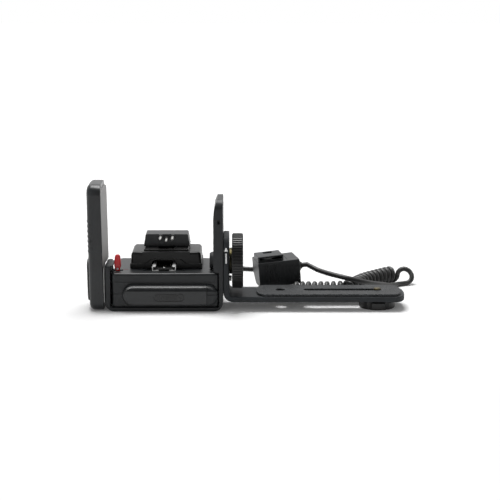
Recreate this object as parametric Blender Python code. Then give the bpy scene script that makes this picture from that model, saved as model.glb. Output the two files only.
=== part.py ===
"""A power bracket that holds a shoe-mount flash beside a camera.

A battery cradle stands on the table between a hand grip and an upright. A clamp knob fastens an L-shaped arm to
the upright, and the arm carries the camera on a rubber pad. A curly lead ends in a hot-shoe adapter block.

Metres, +Z up. X runs along the arm, Y away from the battery door. The origin lies on the underside of the cradle,
on its centre line and under the middle of the flash shoe.
"""

import math

import bmesh
import bpy
from mathutils import Matrix, Vector

MM = 0.001

# Fits and edges that all pieces share
GAP = 0.3 * MM
OVERRUN = 3.0 * MM
SOFT_EDGE = 0.5 * MM
ARC_STEPS = 4
SHARP_ANGLE = math.radians(32.0)
RIM_ANGLE = math.radians(60.0)

# Battery case
CASE_WIDTH = 90.6 * MM
CASE_DEPTH = 63.5 * MM
SHOE_TO_FRONT = 22.0 * MM
DECK_TOP = 33.3 * MM
PARTING_HEIGHT = 15.5 * MM

# Cradle frame
FRAME_WALL = 4.6 * MM
RIGHT_WALL = 3.4 * MM
FRAME_FLOOR = 3.5 * MM
FRAME_DEPTH = 48.0 * MM
LEFT_PLAY = 1.4 * MM
POST_THICKNESS = 8.1 * MM
POST_HEIGHT = 95.8 * MM
POST_DEPTH = 41.0 * MM
CHEEK_HEIGHT = 40.0 * MM

# Cells in the bay
CELL_LENGTH = 50.0 * MM
CELL_DIAMETER = 14.4 * MM
CELL_PITCH = 15.2 * MM
CELL_COUNT = 4

# Hand grip
GRIP_THICKNESS = 12.2 * MM
GRIP_DEPTH = 39.0 * MM
GRIP_HEIGHT = 108.4 * MM

# Arm that carries the camera
ARM_THICKNESS = 4.8 * MM
ARM_WIDTH = 37.0 * MM
ARM_UNDERSIDE = 8.0 * MM
LEG_RISE = 24.2 * MM
ARM_REACH = 155.0 * MM
PAD_THICKNESS = 1.8 * MM
SLOT_WIDTH = 6.9 * MM
SLOT_TRAVEL = 60.0 * MM

# Clamp and camera screw
CLAMP_KNOB_DIAMETER = 47.2 * MM
CLAMP_KNOB_WIDTH = 9.4 * MM
KNOB_CLEARANCE = 3.5 * MM
NUT_DIAMETER = 11.6 * MM
NUT_CLEARANCE = 1.2 * MM
PIN_DROP = 15.3 * MM
CLAMP_SCREW_DIAMETER = 7.6 * MM
TRIPOD_THREAD = 6.35 * MM
SCREW_KNOB_DIAMETER = 31.0 * MM

# Curly lead
CORD_DIAMETER = 4.4 * MM
CURL_DIAMETER = 15.5 * MM
CURL_PITCH = 5.15 * MM
CURL_POINTS = 9

# Adapter block at the end of the lead
ADAPTER_LENGTH = 37.2 * MM
ADAPTER_WIDTH = 30.0 * MM
ADAPTER_TOP = 31.5 * MM
ADAPTER_YAW = math.radians(11.0)
ADAPTER_TILT = math.radians(4.6)
ADAPTER_X = 97.1 * MM
ADAPTER_Y = 46.6 * MM

# Places that several pieces share
CASE_RIGHT = CASE_WIDTH / 2
CASE_LEFT = -CASE_RIGHT
FRONT = -SHOE_TO_FRONT
CASE_BACK = FRONT + CASE_DEPTH
FRAME_RIGHT = CASE_RIGHT + GAP + RIGHT_WALL
FRAME_LEFT = CASE_LEFT - LEFT_PLAY - FRAME_WALL
FRAME_BACK = FRONT + FRAME_DEPTH
CASE_BOTTOM = FRAME_FLOOR + GAP
ARM_FRONT = FRONT + SOFT_EDGE
ARM_BACK = ARM_FRONT + ARM_WIDTH
ARM_MIDDLE = (ARM_FRONT + ARM_BACK) / 2
ARM_TOP_FACE = ARM_UNDERSIDE + ARM_THICKNESS
LEG_INNER = FRAME_RIGHT + GAP
LEG_OUTER = LEG_INNER + ARM_THICKNESS
ARM_END = LEG_INNER + ARM_REACH
PAD_TOP = ARM_TOP_FACE + GAP + PAD_THICKNESS
CLAMP_HEIGHT = max(
    DECK_TOP + NUT_DIAMETER / 2 + NUT_CLEARANCE,
    ARM_TOP_FACE + CLAMP_KNOB_DIAMETER / 2 + KNOB_CLEARANCE,
)
ARM_TOP = CLAMP_HEIGHT + LEG_RISE
PIN_HEIGHT = CLAMP_HEIGHT - PIN_DROP


def new_material(name, colour, roughness, metallic=0.0):
    material = bpy.data.materials.new(name)
    material.use_nodes = True
    shader = material.node_tree.nodes["Principled BSDF"]
    shader.inputs["Base Color"].default_value = (*colour, 1.0)
    shader.inputs["Roughness"].default_value = roughness
    shader.inputs["Metallic"].default_value = metallic
    return material


def outline(corners, steps=ARC_STEPS):
    """Points of a closed outline. A corner (u, v, radius) is rounded by an arc of that radius."""
    points = []
    for index, corner in enumerate(corners):
        here = Vector(corner[:2])
        radius = corner[2] if len(corner) > 2 else 0
        if not radius:
            points.append(here)
            continue
        before = (Vector(corners[index - 1][:2]) - here).normalized()
        after = (Vector(corners[(index + 1) % len(corners)][:2]) - here).normalized()
        half = before.angle(after) / 2
        centre = here + (before + after).normalized() * radius / math.sin(half)
        first = here + before * radius / math.tan(half) - centre
        last = here + after * radius / math.tan(half) - centre
        start = math.atan2(first.y, first.x)
        sweep = first.angle_signed(last)
        for step in range(steps + 1):
            angle = start - sweep * step / steps
            points.append(centre + radius * Vector((math.cos(angle), math.sin(angle))))
    return points


def box_outline(left, right, low, high, radius=0, steps=ARC_STEPS):
    corners = [(left, low, radius), (right, low, radius), (right, high, radius), (left, high, radius)]
    return outline(corners, steps)


def circle(u, v, radius, count):
    turns = [math.tau * index / count for index in range(count)]
    return [Vector((u + radius * math.cos(turn), v + radius * math.sin(turn))) for turn in turns]


def place(plane, u, v, along):
    """A point of an outline drawn on a plane, moved along the plane's normal."""
    return {"XZ": (u, along, v), "YZ": (along, u, v), "XY": (u, v, along)}[plane]


def prism(points, plane, low, high):
    """A closed solid with the outline as its cross-section, from low to high along the plane's normal."""
    bm = bmesh.new()
    ends = [[bm.verts.new(place(plane, point[0], point[1], along)) for point in points] for along in (low, high)]
    for ring in ends:
        bm.faces.new(ring)
    for index in range(len(points)):
        following = (index + 1) % len(points)
        bm.faces.new((ends[0][index], ends[0][following], ends[1][following], ends[1][index]))
    bmesh.ops.recalc_face_normals(bm, faces=bm.faces)
    return bm


def turned(profile, axis, u, v, sides=32, hollow=False):
    """A solid of revolution about an axis along X, Y or Z. The profile holds (radius, place along the axis)."""
    plane = {"X": "YZ", "Y": "XZ", "Z": "XY"}[axis]
    bm = bmesh.new()
    rings = []
    for radius, along in profile:
        if radius > 0:
            spots = circle(u, v, radius, sides)
        else:
            spots = [Vector((u, v))]
        rings.append([bm.verts.new(place(plane, spot.x, spot.y, along)) for spot in spots])
    pairs = list(zip(rings, rings[1:]))
    if hollow:
        pairs.append((rings[-1], rings[0]))
    for lower, upper in pairs:
        for index in range(sides):
            following = (index + 1) % sides
            loop = [lower[index % len(lower)], lower[following % len(lower)]]
            loop += [upper[following % len(upper)], upper[index % len(upper)]]
            corners = list(dict.fromkeys(loop))
            if len(corners) > 2:
                bm.faces.new(corners)
    bmesh.ops.recalc_face_normals(bm, faces=bm.faces)
    return bm


def gathered(solids):
    """Several separate solids in one mesh, for a single Boolean."""
    whole = bmesh.new()
    for solid in solids:
        mesh = bpy.data.meshes.new("solid")
        solid.to_mesh(mesh)
        solid.free()
        whole.from_mesh(mesh)
        bpy.data.meshes.remove(mesh)
    return whole


def rod(axis, u, v, radius, low, high, sides=24):
    """A plain cylinder along an axis."""
    return turned([(0, low), (radius, low), (radius, high), (0, high)], axis, u, v, sides)


def soften(bm, width=SOFT_EDGE, segments=1, chosen=None, angle=SHARP_ANGLE):
    """Bevel the sharp edges of a solid, or those that chosen picks by their middle point and direction."""
    edges = []
    for edge in bm.edges:
        if len(edge.link_faces) != 2 or edge.calc_face_angle() < angle:
            continue
        middle = (edge.verts[0].co + edge.verts[1].co) / 2
        along = (edge.verts[1].co - edge.verts[0].co).normalized()
        if chosen is None or chosen(middle, along):
            edges.append(edge)
    bmesh.ops.bevel(
        bm, geom=edges, offset=width, offset_type="OFFSET", segments=segments, profile=0.5, affect="EDGES",
        clamp_overlap=True,
    )
    return bm


def above(bm, height):
    """What a solid has above a height, closed again."""
    parts = bm.verts[:] + bm.edges[:] + bm.faces[:]
    found = bmesh.ops.bisect_plane(bm, geom=parts, plane_co=(0, 0, height), plane_no=(0, 0, -1), clear_outer=True)
    rim = [item for item in found["geom_cut"] if isinstance(item, bmesh.types.BMEdge)]
    bmesh.ops.edgeloop_fill(bm, edges=rim)
    bmesh.ops.recalc_face_normals(bm, faces=bm.faces)
    return bm


def near(value, target):
    return abs(value - target) < GAP / 2


def make(name, bm, material=None, parent=None, smooth=SHARP_ANGLE):
    """A named object from a solid, shaded smooth but for its sharp edges."""
    mesh = bpy.data.meshes.new(name)
    bm.to_mesh(mesh)
    bm.free()
    mesh.shade_smooth()
    mesh.set_sharp_from_angle(angle=smooth)
    obj = bpy.data.objects.new(name, mesh)
    bpy.context.scene.collection.objects.link(obj)
    if material is not None:
        mesh.materials.append(material)
    if parent is not None:
        hang(obj, parent)
    return obj


def hang(obj, parent):
    """Parent an object that is drawn in world coordinates, without moving it, unless the pivot carries a turn."""
    obj.parent = parent
    if not parent.get("own_frame"):
        obj.matrix_parent_inverse = Matrix.Translation(-parent.location)


def pivot(name, where, parent=None):
    """An empty on a joint's axis."""
    empty = bpy.data.objects.new(name, None)
    bpy.context.scene.collection.objects.link(empty)
    empty.location = where
    empty.empty_display_size = CORD_DIAMETER
    return empty


def combine(obj, bm, operation):
    """Join a solid to an object, or cut or keep what it covers, with a Boolean on a hidden helper."""
    helper = make(f"{obj.name}_{operation.lower()}_{len(obj.modifiers)}", bm)
    helper.hide_render = True
    helper.display_type = "WIRE"
    helper.parent = obj.parent
    helper.matrix_parent_inverse = obj.matrix_parent_inverse.copy()
    modifier = obj.modifiers.new(helper.name, "BOOLEAN")
    modifier.operation = operation
    modifier.solver = "EXACT"
    modifier.object = helper
    return helper


def cut(obj, bm):
    return combine(obj, bm, "DIFFERENCE")


def join(obj, bm):
    return combine(obj, bm, "UNION")


def keep(obj, bm):
    return combine(obj, bm, "INTERSECT")


# Materials

BLACK_PLASTIC = (0.030, 0.030, 0.032)
SHELL_PLASTIC = (0.040, 0.040, 0.042)


def make_materials():
    return {
        "case": new_material("case_plastic", BLACK_PLASTIC, 0.45),
        "frame": new_material("frame_plastic", SHELL_PLASTIC, 0.5),
        "liner": new_material("grip_liner", (0.20, 0.205, 0.185), 0.55),
        "rubber": new_material("rubber", (0.05, 0.05, 0.052), 0.85),
        "paint": new_material("arm_paint", (0.045, 0.047, 0.05), 0.5, 0.2),
        "chrome": new_material("chrome", (0.75, 0.75, 0.73), 0.2, 1.0),
        "steel": new_material("steel", (0.45, 0.45, 0.46), 0.35, 1.0),
        "brass": new_material("brass", (0.55, 0.47, 0.25), 0.35, 1.0),
        "red": new_material("red_plastic", (0.36, 0.03, 0.035), 0.4),
        "cell": new_material("cell_sleeve", (0.10, 0.12, 0.16), 0.4),
        "board": new_material("board", (0.02, 0.12, 0.06), 0.5),
        "insulator": new_material("insulator", (0.025, 0.025, 0.027), 0.5),
        "cord": new_material("cord", (0.035, 0.035, 0.036), 0.55),
    }


# Cradle frame: a moulded channel under the case, with a low cheek on its left and the tall upright on its right

FRAME_CORNER = 8.0 * MM
CHANNEL_WALL_HEIGHT = 13.0 * MM
CHEEK_TOP_DEPTH = 30.0 * MM
CHEEK_LIP = 2.3 * MM
CHEEK_LIP_RISE = 3.4 * MM
WALL_CORNER = 5.0 * MM
CHEEK_ROUND = 2.4 * MM
CHEEK_ROOT = 9.4 * MM
POST_TOP_CORNER = 9.0 * MM
POST_TOP_CURVE = 14.0 * MM
POST_CURVE_DROP = 15.5 * MM
POST_CURVE_MIDDLE = 6.8 * MM
POST_CURVE_SET = 0.8 * MM
POST_CURVE_INSET = 3.4 * MM
BOSS_PROUD = 3.5 * MM
BOSS_SHOULDER = 2.3 * MM
BOSS_ROOT = 0.6 * MM
BOSS_FACE_RADIUS = 6.6 * MM
BOSS_SHOULDER_RADIUS = 7.4 * MM
BOSS_ROOT_RADIUS = 8.2 * MM
POST_FOOT_CORNER = 3.6 * MM
CATCH_WIDTH = 2.2 * MM
CATCH_HEIGHT = 3.6 * MM
CATCH_DEPTH = 4.0 * MM
CATCH_PLACE = 75.5 * MM
CATCH_RIB_HEIGHT = 6.5 * MM
CATCH_RIB_WIDTH = 0.8 * MM
CATCH_OFFSET = 0.45 * MM
PIN_DIAMETER = 5.0 * MM
NUT_LENGTH = 7.0 * MM
CASE_SCREW_HEAD = 5.6 * MM
CASE_SCREW_SHANK = 2.6 * MM
CASE_SCREW_HEAD_HEIGHT = 1.5 * MM
CASE_SCREW_LENGTH = 6.4 * MM
CASE_SCREW_X_INSET = 9.0 * MM
CASE_SCREW_Y_INSET = 7.0 * MM
GRIP_SCREW_HEAD = 5.0 * MM
GRIP_SCREW_SHANK = 2.6 * MM
GRIP_SCREW_HEAD_HEIGHT = 1.4 * MM
GRIP_SCREW_LENGTH = 10.0 * MM
GRIP_SCREW_LOW = 12.0 * MM
GRIP_SCREW_RISE = 18.0 * MM
GRIP_SCREW_SETBACK = 16.0 * MM

POST_INNER = FRAME_RIGHT - POST_THICKNESS
WALL_INNER_RIGHT = FRAME_RIGHT - RIGHT_WALL
WALL_INNER_LEFT = FRAME_LEFT + FRAME_WALL
POST_BACK = FRONT + POST_DEPTH
POST_BOTTOM = DECK_TOP + GAP


def case_screw_places():
    xs = (CASE_LEFT + CASE_SCREW_X_INSET, CASE_RIGHT - CASE_SCREW_X_INSET)
    ys = (FRONT + CASE_SCREW_Y_INSET, FRAME_BACK - CASE_SCREW_Y_INSET)
    return [(x, y) for x in xs for y in ys]


def grip_screw_places():
    return [(FRONT + GRIP_SCREW_SETBACK, GRIP_SCREW_LOW + index * GRIP_SCREW_RISE) for index in range(2)]


def make_cradle_frame(materials):
    walls = [
        (FRAME_LEFT, 0, FRAME_CORNER),
        (FRAME_RIGHT, 0, FRAME_CORNER),
        (FRAME_RIGHT, CHANNEL_WALL_HEIGHT),
        (WALL_INNER_RIGHT, CHANNEL_WALL_HEIGHT),
        (WALL_INNER_RIGHT, FRAME_FLOOR, LEFT_PLAY),
        (WALL_INNER_LEFT, FRAME_FLOOR, LEFT_PLAY),
        (WALL_INNER_LEFT, CHEEK_ROOT),
        (FRAME_LEFT, CHEEK_ROOT),
    ]
    channel = prism(outline(walls, 6), "XZ", FRONT, FRAME_BACK)
    rims = (FRONT, FRAME_BACK)
    soften(channel, SOFT_EDGE, 2, lambda at, along: any(near(at.y, rim) for rim in rims))
    frame = make("cradle_frame", channel, materials["frame"])

    root = CHANNEL_WALL_HEIGHT - FRAME_WALL
    cheek_side = [
        (FRONT, root),
        (FRAME_BACK, root),
        (FRAME_BACK, CHANNEL_WALL_HEIGHT, WALL_CORNER),
        (FRONT + CHEEK_TOP_DEPTH, CHEEK_HEIGHT, WALL_CORNER),
        (FRONT, CHEEK_HEIGHT, CHEEK_LIP),
    ]
    cheek = prism(outline(cheek_side), "YZ", FRAME_LEFT, WALL_INNER_LEFT)
    soften(cheek, CHEEK_ROUND, 3, lambda at, along: near(at.x, FRAME_LEFT) and at.z > root + GAP)
    join(frame, cheek)
    lip = [
        (WALL_INNER_LEFT - FRAME_WALL / 2, CHEEK_HEIGHT - CHEEK_LIP - CHEEK_LIP_RISE),
        (WALL_INNER_LEFT, CHEEK_HEIGHT - CHEEK_LIP - CHEEK_LIP_RISE),
        (WALL_INNER_LEFT + CHEEK_LIP, CHEEK_HEIGHT - CHEEK_LIP, CHEEK_LIP / 2),
        (WALL_INNER_LEFT + CHEEK_LIP, CHEEK_HEIGHT - SOFT_EDGE, SOFT_EDGE),
        (WALL_INNER_LEFT - FRAME_WALL / 2, CHEEK_HEIGHT - SOFT_EDGE),
    ]
    join(frame, prism(outline(lip), "XZ", FRONT + CHEEK_LIP, FRONT + CHEEK_TOP_DEPTH - WALL_CORNER))

    front_view = [
        (WALL_INNER_RIGHT, root),
        (FRAME_RIGHT, root),
        (FRAME_RIGHT, POST_HEIGHT, SOFT_EDGE),
        (POST_INNER + POST_CURVE_INSET, POST_HEIGHT, POST_CURVE_SET),
        (POST_INNER + POST_CURVE_SET, POST_HEIGHT - POST_CURVE_MIDDLE, POST_TOP_CURVE),
        (POST_INNER, POST_HEIGHT - POST_CURVE_DROP, POST_TOP_CURVE),
        (POST_INNER, POST_BOTTOM, POST_FOOT_CORNER),
        (WALL_INNER_RIGHT, POST_BOTTOM),
    ]
    post = make("post_block", prism(outline(front_view), "XZ", FRONT, FRAME_BACK))
    side_view = [
        (FRONT, 0),
        (FRAME_BACK + OVERRUN, 0),
        (FRAME_BACK + OVERRUN, CHANNEL_WALL_HEIGHT - SOFT_EDGE),
        (FRAME_BACK, CHANNEL_WALL_HEIGHT - SOFT_EDGE, WALL_CORNER / 2),
        (POST_BACK, POST_BOTTOM, POST_TOP_CORNER),
        (POST_BACK, POST_HEIGHT, POST_TOP_CORNER),
        (FRONT, POST_HEIGHT, POST_TOP_CORNER),
    ]
    keep(post, prism(outline(side_view, 6), "YZ", POST_INNER - OVERRUN, FRAME_RIGHT + OVERRUN))
    post.hide_render = True
    post.display_type = "WIRE"
    union = frame.modifiers.new("post", "BOOLEAN")
    union.operation = "UNION"
    union.solver = "EXACT"
    union.object = post

    boss = [
        (0, POST_INNER - BOSS_PROUD),
        (BOSS_FACE_RADIUS, POST_INNER - BOSS_PROUD),
        (BOSS_SHOULDER_RADIUS - BOSS_ROOT, POST_INNER - (BOSS_PROUD + BOSS_SHOULDER) / 2),
        (BOSS_SHOULDER_RADIUS, POST_INNER - BOSS_SHOULDER),
        (BOSS_ROOT_RADIUS, POST_INNER + BOSS_ROOT),
        (BOSS_ROOT_RADIUS, POST_INNER + POST_FOOT_CORNER + BOSS_ROOT),
        (0, POST_INNER + POST_FOOT_CORNER + BOSS_ROOT),
    ]
    join(frame, above(turned(boss, "X", ARM_MIDDLE, CLAMP_HEIGHT, 28), POST_BOTTOM + GAP))

    rib_middle = (POST_INNER + FRAME_RIGHT) / 2 + CATCH_OFFSET
    rib = box_outline(
        rib_middle - CATCH_RIB_WIDTH / 2, rib_middle + CATCH_RIB_WIDTH / 2, CATCH_PLACE + CATCH_HEIGHT,
        CATCH_PLACE + CATCH_HEIGHT + CATCH_RIB_HEIGHT,
    )
    join(frame, prism(rib, "XZ", FRONT - SOFT_EDGE, FRONT + SOFT_EDGE))
    window = box_outline(
        rib_middle - CATCH_WIDTH / 2, rib_middle + CATCH_WIDTH / 2, CATCH_PLACE, CATCH_PLACE + CATCH_HEIGHT
    )
    cut(frame, prism(window, "XZ", FRONT - OVERRUN, FRONT + CATCH_DEPTH))

    bore = CLAMP_SCREW_DIAMETER / 2 + GAP
    pocket = NUT_DIAMETER / 2 + GAP
    floor = POST_INNER - BOSS_PROUD + NUT_LENGTH + 2 * GAP
    cut(frame, rod("X", ARM_MIDDLE, CLAMP_HEIGHT, pocket, POST_INNER - BOSS_PROUD - OVERRUN, floor, 6))
    cut(frame, rod("X", ARM_MIDDLE, CLAMP_HEIGHT, bore, floor - NUT_LENGTH / 2, FRAME_RIGHT + OVERRUN))
    pin_bore = PIN_DIAMETER / 2 + GAP
    cut(frame, rod("X", ARM_MIDDLE, PIN_HEIGHT, pin_bore, WALL_INNER_RIGHT - OVERRUN, FRAME_RIGHT + OVERRUN))
    head = CASE_SCREW_HEAD / 2 + GAP
    shank = CASE_SCREW_SHANK / 2 + GAP
    seat = CASE_SCREW_HEAD_HEIGHT + 2 * GAP
    bored = [(0, -OVERRUN), (head, -OVERRUN), (head, seat), (shank, seat)]
    bored += [(shank, FRAME_FLOOR + OVERRUN), (0, FRAME_FLOOR + OVERRUN)]
    cut(frame, gathered([turned(bored, "Z", x, y, 12) for x, y in case_screw_places()]))
    head = GRIP_SCREW_HEAD / 2 + GAP
    shank = GRIP_SCREW_SHANK / 2 + GAP
    seat = WALL_INNER_LEFT - GRIP_SCREW_HEAD_HEIGHT - 2 * GAP
    bored = [(0, FRAME_LEFT - OVERRUN), (shank, FRAME_LEFT - OVERRUN), (shank, seat), (head, seat)]
    bored += [(head, WALL_INNER_LEFT + OVERRUN), (0, WALL_INNER_LEFT + OVERRUN)]
    cut(frame, gathered([turned(bored, "X", y, z, 12) for y, z in grip_screw_places()]))
    return frame


# Battery case: lower and upper halves that meet at the parting line, hollow round the cells

CASE_FRONT_CORNER = 3.0 * MM
CASE_BACK_CORNER = 7.0 * MM
CASE_FOOT_EDGE = 2.0 * MM
DECK_EDGE = 1.8 * MM
BULGE_DEPTH = 4.0 * MM
DOOR_LEFT = -36.2 * MM
DOOR_SEAM = 35.2 * MM
DOOR_LOW = 5.2 * MM
DOOR_HIGH = 24.4 * MM
DOOR_END_RADIUS = 8.8 * MM
DOOR_EDGE = 2.8 * MM
DOOR_PLAY = 0.4 * MM
BAY_MARGIN = 1.8 * MM
BAY_SEAM_MARGIN = 4.6 * MM
BAY_DEPTH = 57.5 * MM
BOARD_POCKET_LEFT = 34.0 * MM
BOARD_POCKET_RIGHT = 42.4 * MM
BOARD_POCKET_FRONT = -14.0 * MM
BOARD_POCKET_BACK = 33.0 * MM
BOARD_POCKET_LOW = 8.0 * MM
BOARD_POCKET_HIGH = 24.0 * MM
PANEL_RECESS = 0.6 * MM
PANEL_LOW = 25.6 * MM
PANEL_HIGH = 31.2 * MM

CELL_HEIGHT = PARTING_HEIGHT
BAY_LOW = CELL_HEIGHT - CELL_DIAMETER / 2 - GAP
BAY_HIGH = CELL_HEIGHT + CELL_DIAMETER / 2 + GAP
BAY_RIGHT = DOOR_SEAM - BAY_SEAM_MARGIN
BAY_LEFT = DOOR_LEFT + BAY_MARGIN
BAY_BACK = FRONT + BAY_DEPTH


def bay_cutter():
    radius = (BAY_HIGH - BAY_LOW) / 2 - GAP
    corners = [
        (BAY_LEFT, BAY_LOW, radius),
        (BAY_RIGHT, BAY_LOW, SOFT_EDGE),
        (BAY_RIGHT, BAY_HIGH, SOFT_EDGE),
        (BAY_LEFT, BAY_HIGH, radius),
    ]
    return prism(outline(corners), "XZ", FRONT - BULGE_DEPTH - OVERRUN, BAY_BACK)


def board_pocket_cutter():
    across = box_outline(BOARD_POCKET_LEFT, BOARD_POCKET_RIGHT, BOARD_POCKET_LOW, BOARD_POCKET_HIGH)
    return prism(across, "XZ", BOARD_POCKET_FRONT, BOARD_POCKET_BACK)


def bulge_end():
    """The fixed right end of the raised band, which the parting line crosses."""
    corners = [
        (DOOR_SEAM + DOOR_PLAY, DOOR_LOW),
        (CASE_RIGHT - SOFT_EDGE, DOOR_LOW, DOOR_END_RADIUS),
        (CASE_RIGHT - SOFT_EDGE, DOOR_HIGH, DOOR_END_RADIUS),
        (DOOR_SEAM + DOOR_PLAY, DOOR_HIGH),
    ]
    face = FRONT - BULGE_DEPTH
    solid = prism(outline(corners, 6), "XZ", face, FRONT + BULGE_DEPTH)
    return soften(solid, DOOR_EDGE, 3, lambda at, along: near(at.y, face) and not near(at.x, DOOR_SEAM + DOOR_PLAY))


def parting_cutter(low, high):
    """A slab larger than the case, which takes away all between two heights."""
    beyond = BULGE_DEPTH + OVERRUN
    plan = box_outline(CASE_LEFT - beyond, CASE_RIGHT + beyond, FRONT - beyond, CASE_BACK + beyond)
    return prism(plan, "XY", low, high)


def case_plan():
    corners = [
        (CASE_LEFT, FRONT, CASE_FRONT_CORNER),
        (CASE_RIGHT, FRONT, CASE_FRONT_CORNER),
        (CASE_RIGHT, CASE_BACK, CASE_BACK_CORNER),
        (CASE_LEFT, CASE_BACK, CASE_BACK_CORNER),
    ]
    return outline(corners)


def make_case_bottom(materials):
    body = prism(case_plan(), "XY", CASE_BOTTOM, PARTING_HEIGHT + OVERRUN)
    soften(body, CASE_FOOT_EDGE, 2, lambda at, along: near(at.z, CASE_BOTTOM))
    case = make("case_bottom", body, materials["case"])
    join(case, bulge_end())
    cut(case, parting_cutter(PARTING_HEIGHT - GAP / 2, DECK_TOP + OVERRUN))
    cut(case, gathered([bay_cutter(), board_pocket_cutter()]))
    reach = CASE_SCREW_LENGTH + 2 * GAP
    radius = CASE_SCREW_SHANK / 2 + GAP
    cut(case, gathered([rod("Z", x, y, radius, CASE_BOTTOM - OVERRUN, reach, 12) for x, y in case_screw_places()]))
    return case


# Upper half of the case, with the deck, the shoe recess, and the passages of the lock

LEVER_X = -41.0 * MM
LEVER_Y = -9.0 * MM
LEVER_WIDTH = 6.0 * MM
LEVER_NECK_WIDTH = 3.2 * MM
LEVER_CROWN_WIDTH = 4.2 * MM
LEVER_HUB_WIDTH = 4.7 * MM
LEVER_WIDE_HEIGHT = 37.5 * MM
LEVER_THICKNESS = 3.6 * MM
LEVER_TOP = 46.9 * MM
LEVER_PIVOT_HEIGHT = 29.0 * MM
LEVER_TIP_WIDTH = 2.4 * MM
LEVER_SWING = math.radians(22.0)
LEVER_PIN_DIAMETER = 1.8 * MM
LEVER_SIDE_PLAY = 0.5 * MM
LOCK_BAR_WIDTH = 5.6 * MM
LOCK_BAR_LOW = 23.6 * MM
LOCK_BAR_HIGH = 26.6 * MM
LOCK_BAR_END = 4.0 * MM
LOCK_BAR_RUN = 1.8 * MM
SHOE_OFFSET = -1.4 * MM
SHOE_WIDTH = 20.3 * MM
SHOE_LENGTH = 24.6 * MM
SHOE_SHEET = 0.8 * MM
SHOE_HEIGHT = 4.4 * MM
SHOE_LIP = 3.1 * MM
SHOE_RECESS = 0.5 * MM
RECESS_SIDE = 3.4 * MM
RECESS_FLARE = 8.6 * MM
RECESS_BACK = 13.0 * MM
LOCK_PIN_DIAMETER = 2.0 * MM
LOCK_PIN_DROP = 1.5 * MM
LOCK_PIN_PROUD = 0.9 * MM
GLAND_X = 36.0 * MM
GLAND_HEIGHT = 20.0 * MM
GLAND_SHANK = 6.0 * MM

CHANNEL_TOP = LOCK_BAR_HIGH + GAP
SHOE_FRONT = -SHOE_LENGTH / 2
RECESS_FLOOR = DECK_TOP - SHOE_RECESS
SHOE_FLOOR = RECESS_FLOOR + GAP
LEVER_SLOT_LEFT = LEVER_X - LEVER_WIDTH / 2 - LEVER_SIDE_PLAY
LEVER_SLOT_RIGHT = (
    LEVER_X
    + LEVER_WIDTH / 2
    + (DECK_TOP - LEVER_PIVOT_HEIGHT) * math.sin(LEVER_SWING)
)
LEVER_TIP = LOCK_BAR_LOW + GAP


def shoe_recess_plan():
    side = SHOE_WIDTH / 2
    return outline([
        (SHOE_OFFSET - side - RECESS_FLARE, SHOE_FRONT - GAP, SOFT_EDGE),
        (SHOE_OFFSET + side + RECESS_FLARE, SHOE_FRONT - GAP, SOFT_EDGE),
        (SHOE_OFFSET + side + RECESS_SIDE, SHOE_FRONT + RECESS_FLARE, RECESS_FLARE),
        (SHOE_OFFSET + side + RECESS_SIDE, RECESS_BACK),
        (SHOE_OFFSET - side - RECESS_SIDE, RECESS_BACK),
        (SHOE_OFFSET - side - RECESS_SIDE, SHOE_FRONT + RECESS_FLARE, RECESS_FLARE),
    ])


def make_case_top(materials):
    body = prism(case_plan(), "XY", PARTING_HEIGHT - OVERRUN, DECK_TOP)
    soften(body, DECK_EDGE, 3, lambda at, along: near(at.z, DECK_TOP))
    case = make("case_top", body, materials["case"])
    join(case, bulge_end())
    cut(case, parting_cutter(DOOR_LOW - OVERRUN, PARTING_HEIGHT + GAP / 2))
    cut(case, gathered([bay_cutter(), board_pocket_cutter()]))
    panel = box_outline(
        CASE_LEFT + CASE_FRONT_CORNER, CASE_RIGHT - CASE_FRONT_CORNER, PANEL_LOW, PANEL_HIGH, PANEL_RECESS
    )
    cut(case, prism(panel, "XZ", FRONT - OVERRUN, FRONT + PANEL_RECESS))
    cut(case, prism(shoe_recess_plan(), "XY", RECESS_FLOOR, DECK_TOP + OVERRUN))

    deep = LEVER_THICKNESS / 2 + LEVER_SIDE_PLAY
    slot = box_outline(LEVER_SLOT_LEFT, LEVER_SLOT_RIGHT, LEVER_Y - deep, LEVER_Y + deep)
    cut(case, prism(slot, "XY", CHANNEL_TOP - SOFT_EDGE, DECK_TOP + OVERRUN))
    half = LOCK_BAR_WIDTH / 2 + GAP
    channel = box_outline(CASE_LEFT - OVERRUN, LOCK_BAR_END + LOCK_BAR_RUN, LEVER_Y - half, LEVER_Y + half)
    cut(case, prism(channel, "XY", BAY_HIGH - SOFT_EDGE, CHANNEL_TOP))
    pin = rod("Z", SHOE_OFFSET, LEVER_Y, LOCK_PIN_DIAMETER / 2 + GAP, CHANNEL_TOP - SOFT_EDGE, DECK_TOP, 16)
    cut(case, pin)
    reach = deep + 2 * LEVER_THICKNESS / 2
    hinge = rod("Y", LEVER_X, LEVER_PIVOT_HEIGHT, LEVER_PIN_DIAMETER / 2 + GAP, LEVER_Y - reach, LEVER_Y + reach, 12)
    cut(case, hinge)
    shank = rod("Y", GLAND_X, GLAND_HEIGHT, GLAND_SHANK / 2 + GAP, CASE_BACK - GLAND_SHANK, CASE_BACK + OVERRUN, 24)
    cut(case, shank)
    return case


# Sliding battery door, with the ribbed push and its arrow disc

DOOR_TRAVEL = 5.5 * MM
PUSH_LEFT = -9.6 * MM
PUSH_RIGHT = 16.6 * MM
PUSH_LOW = 10.0 * MM
PUSH_HIGH = 17.0 * MM
PUSH_DEPTH = 0.7 * MM
PUSH_RIB = 0.8 * MM
PUSH_RIBS = 11
PUSH_RIB_SPAN = 18.0 * MM
INNER_PLATE = 1.6 * MM
INNER_PLATE_INSET = 0.6 * MM


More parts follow.
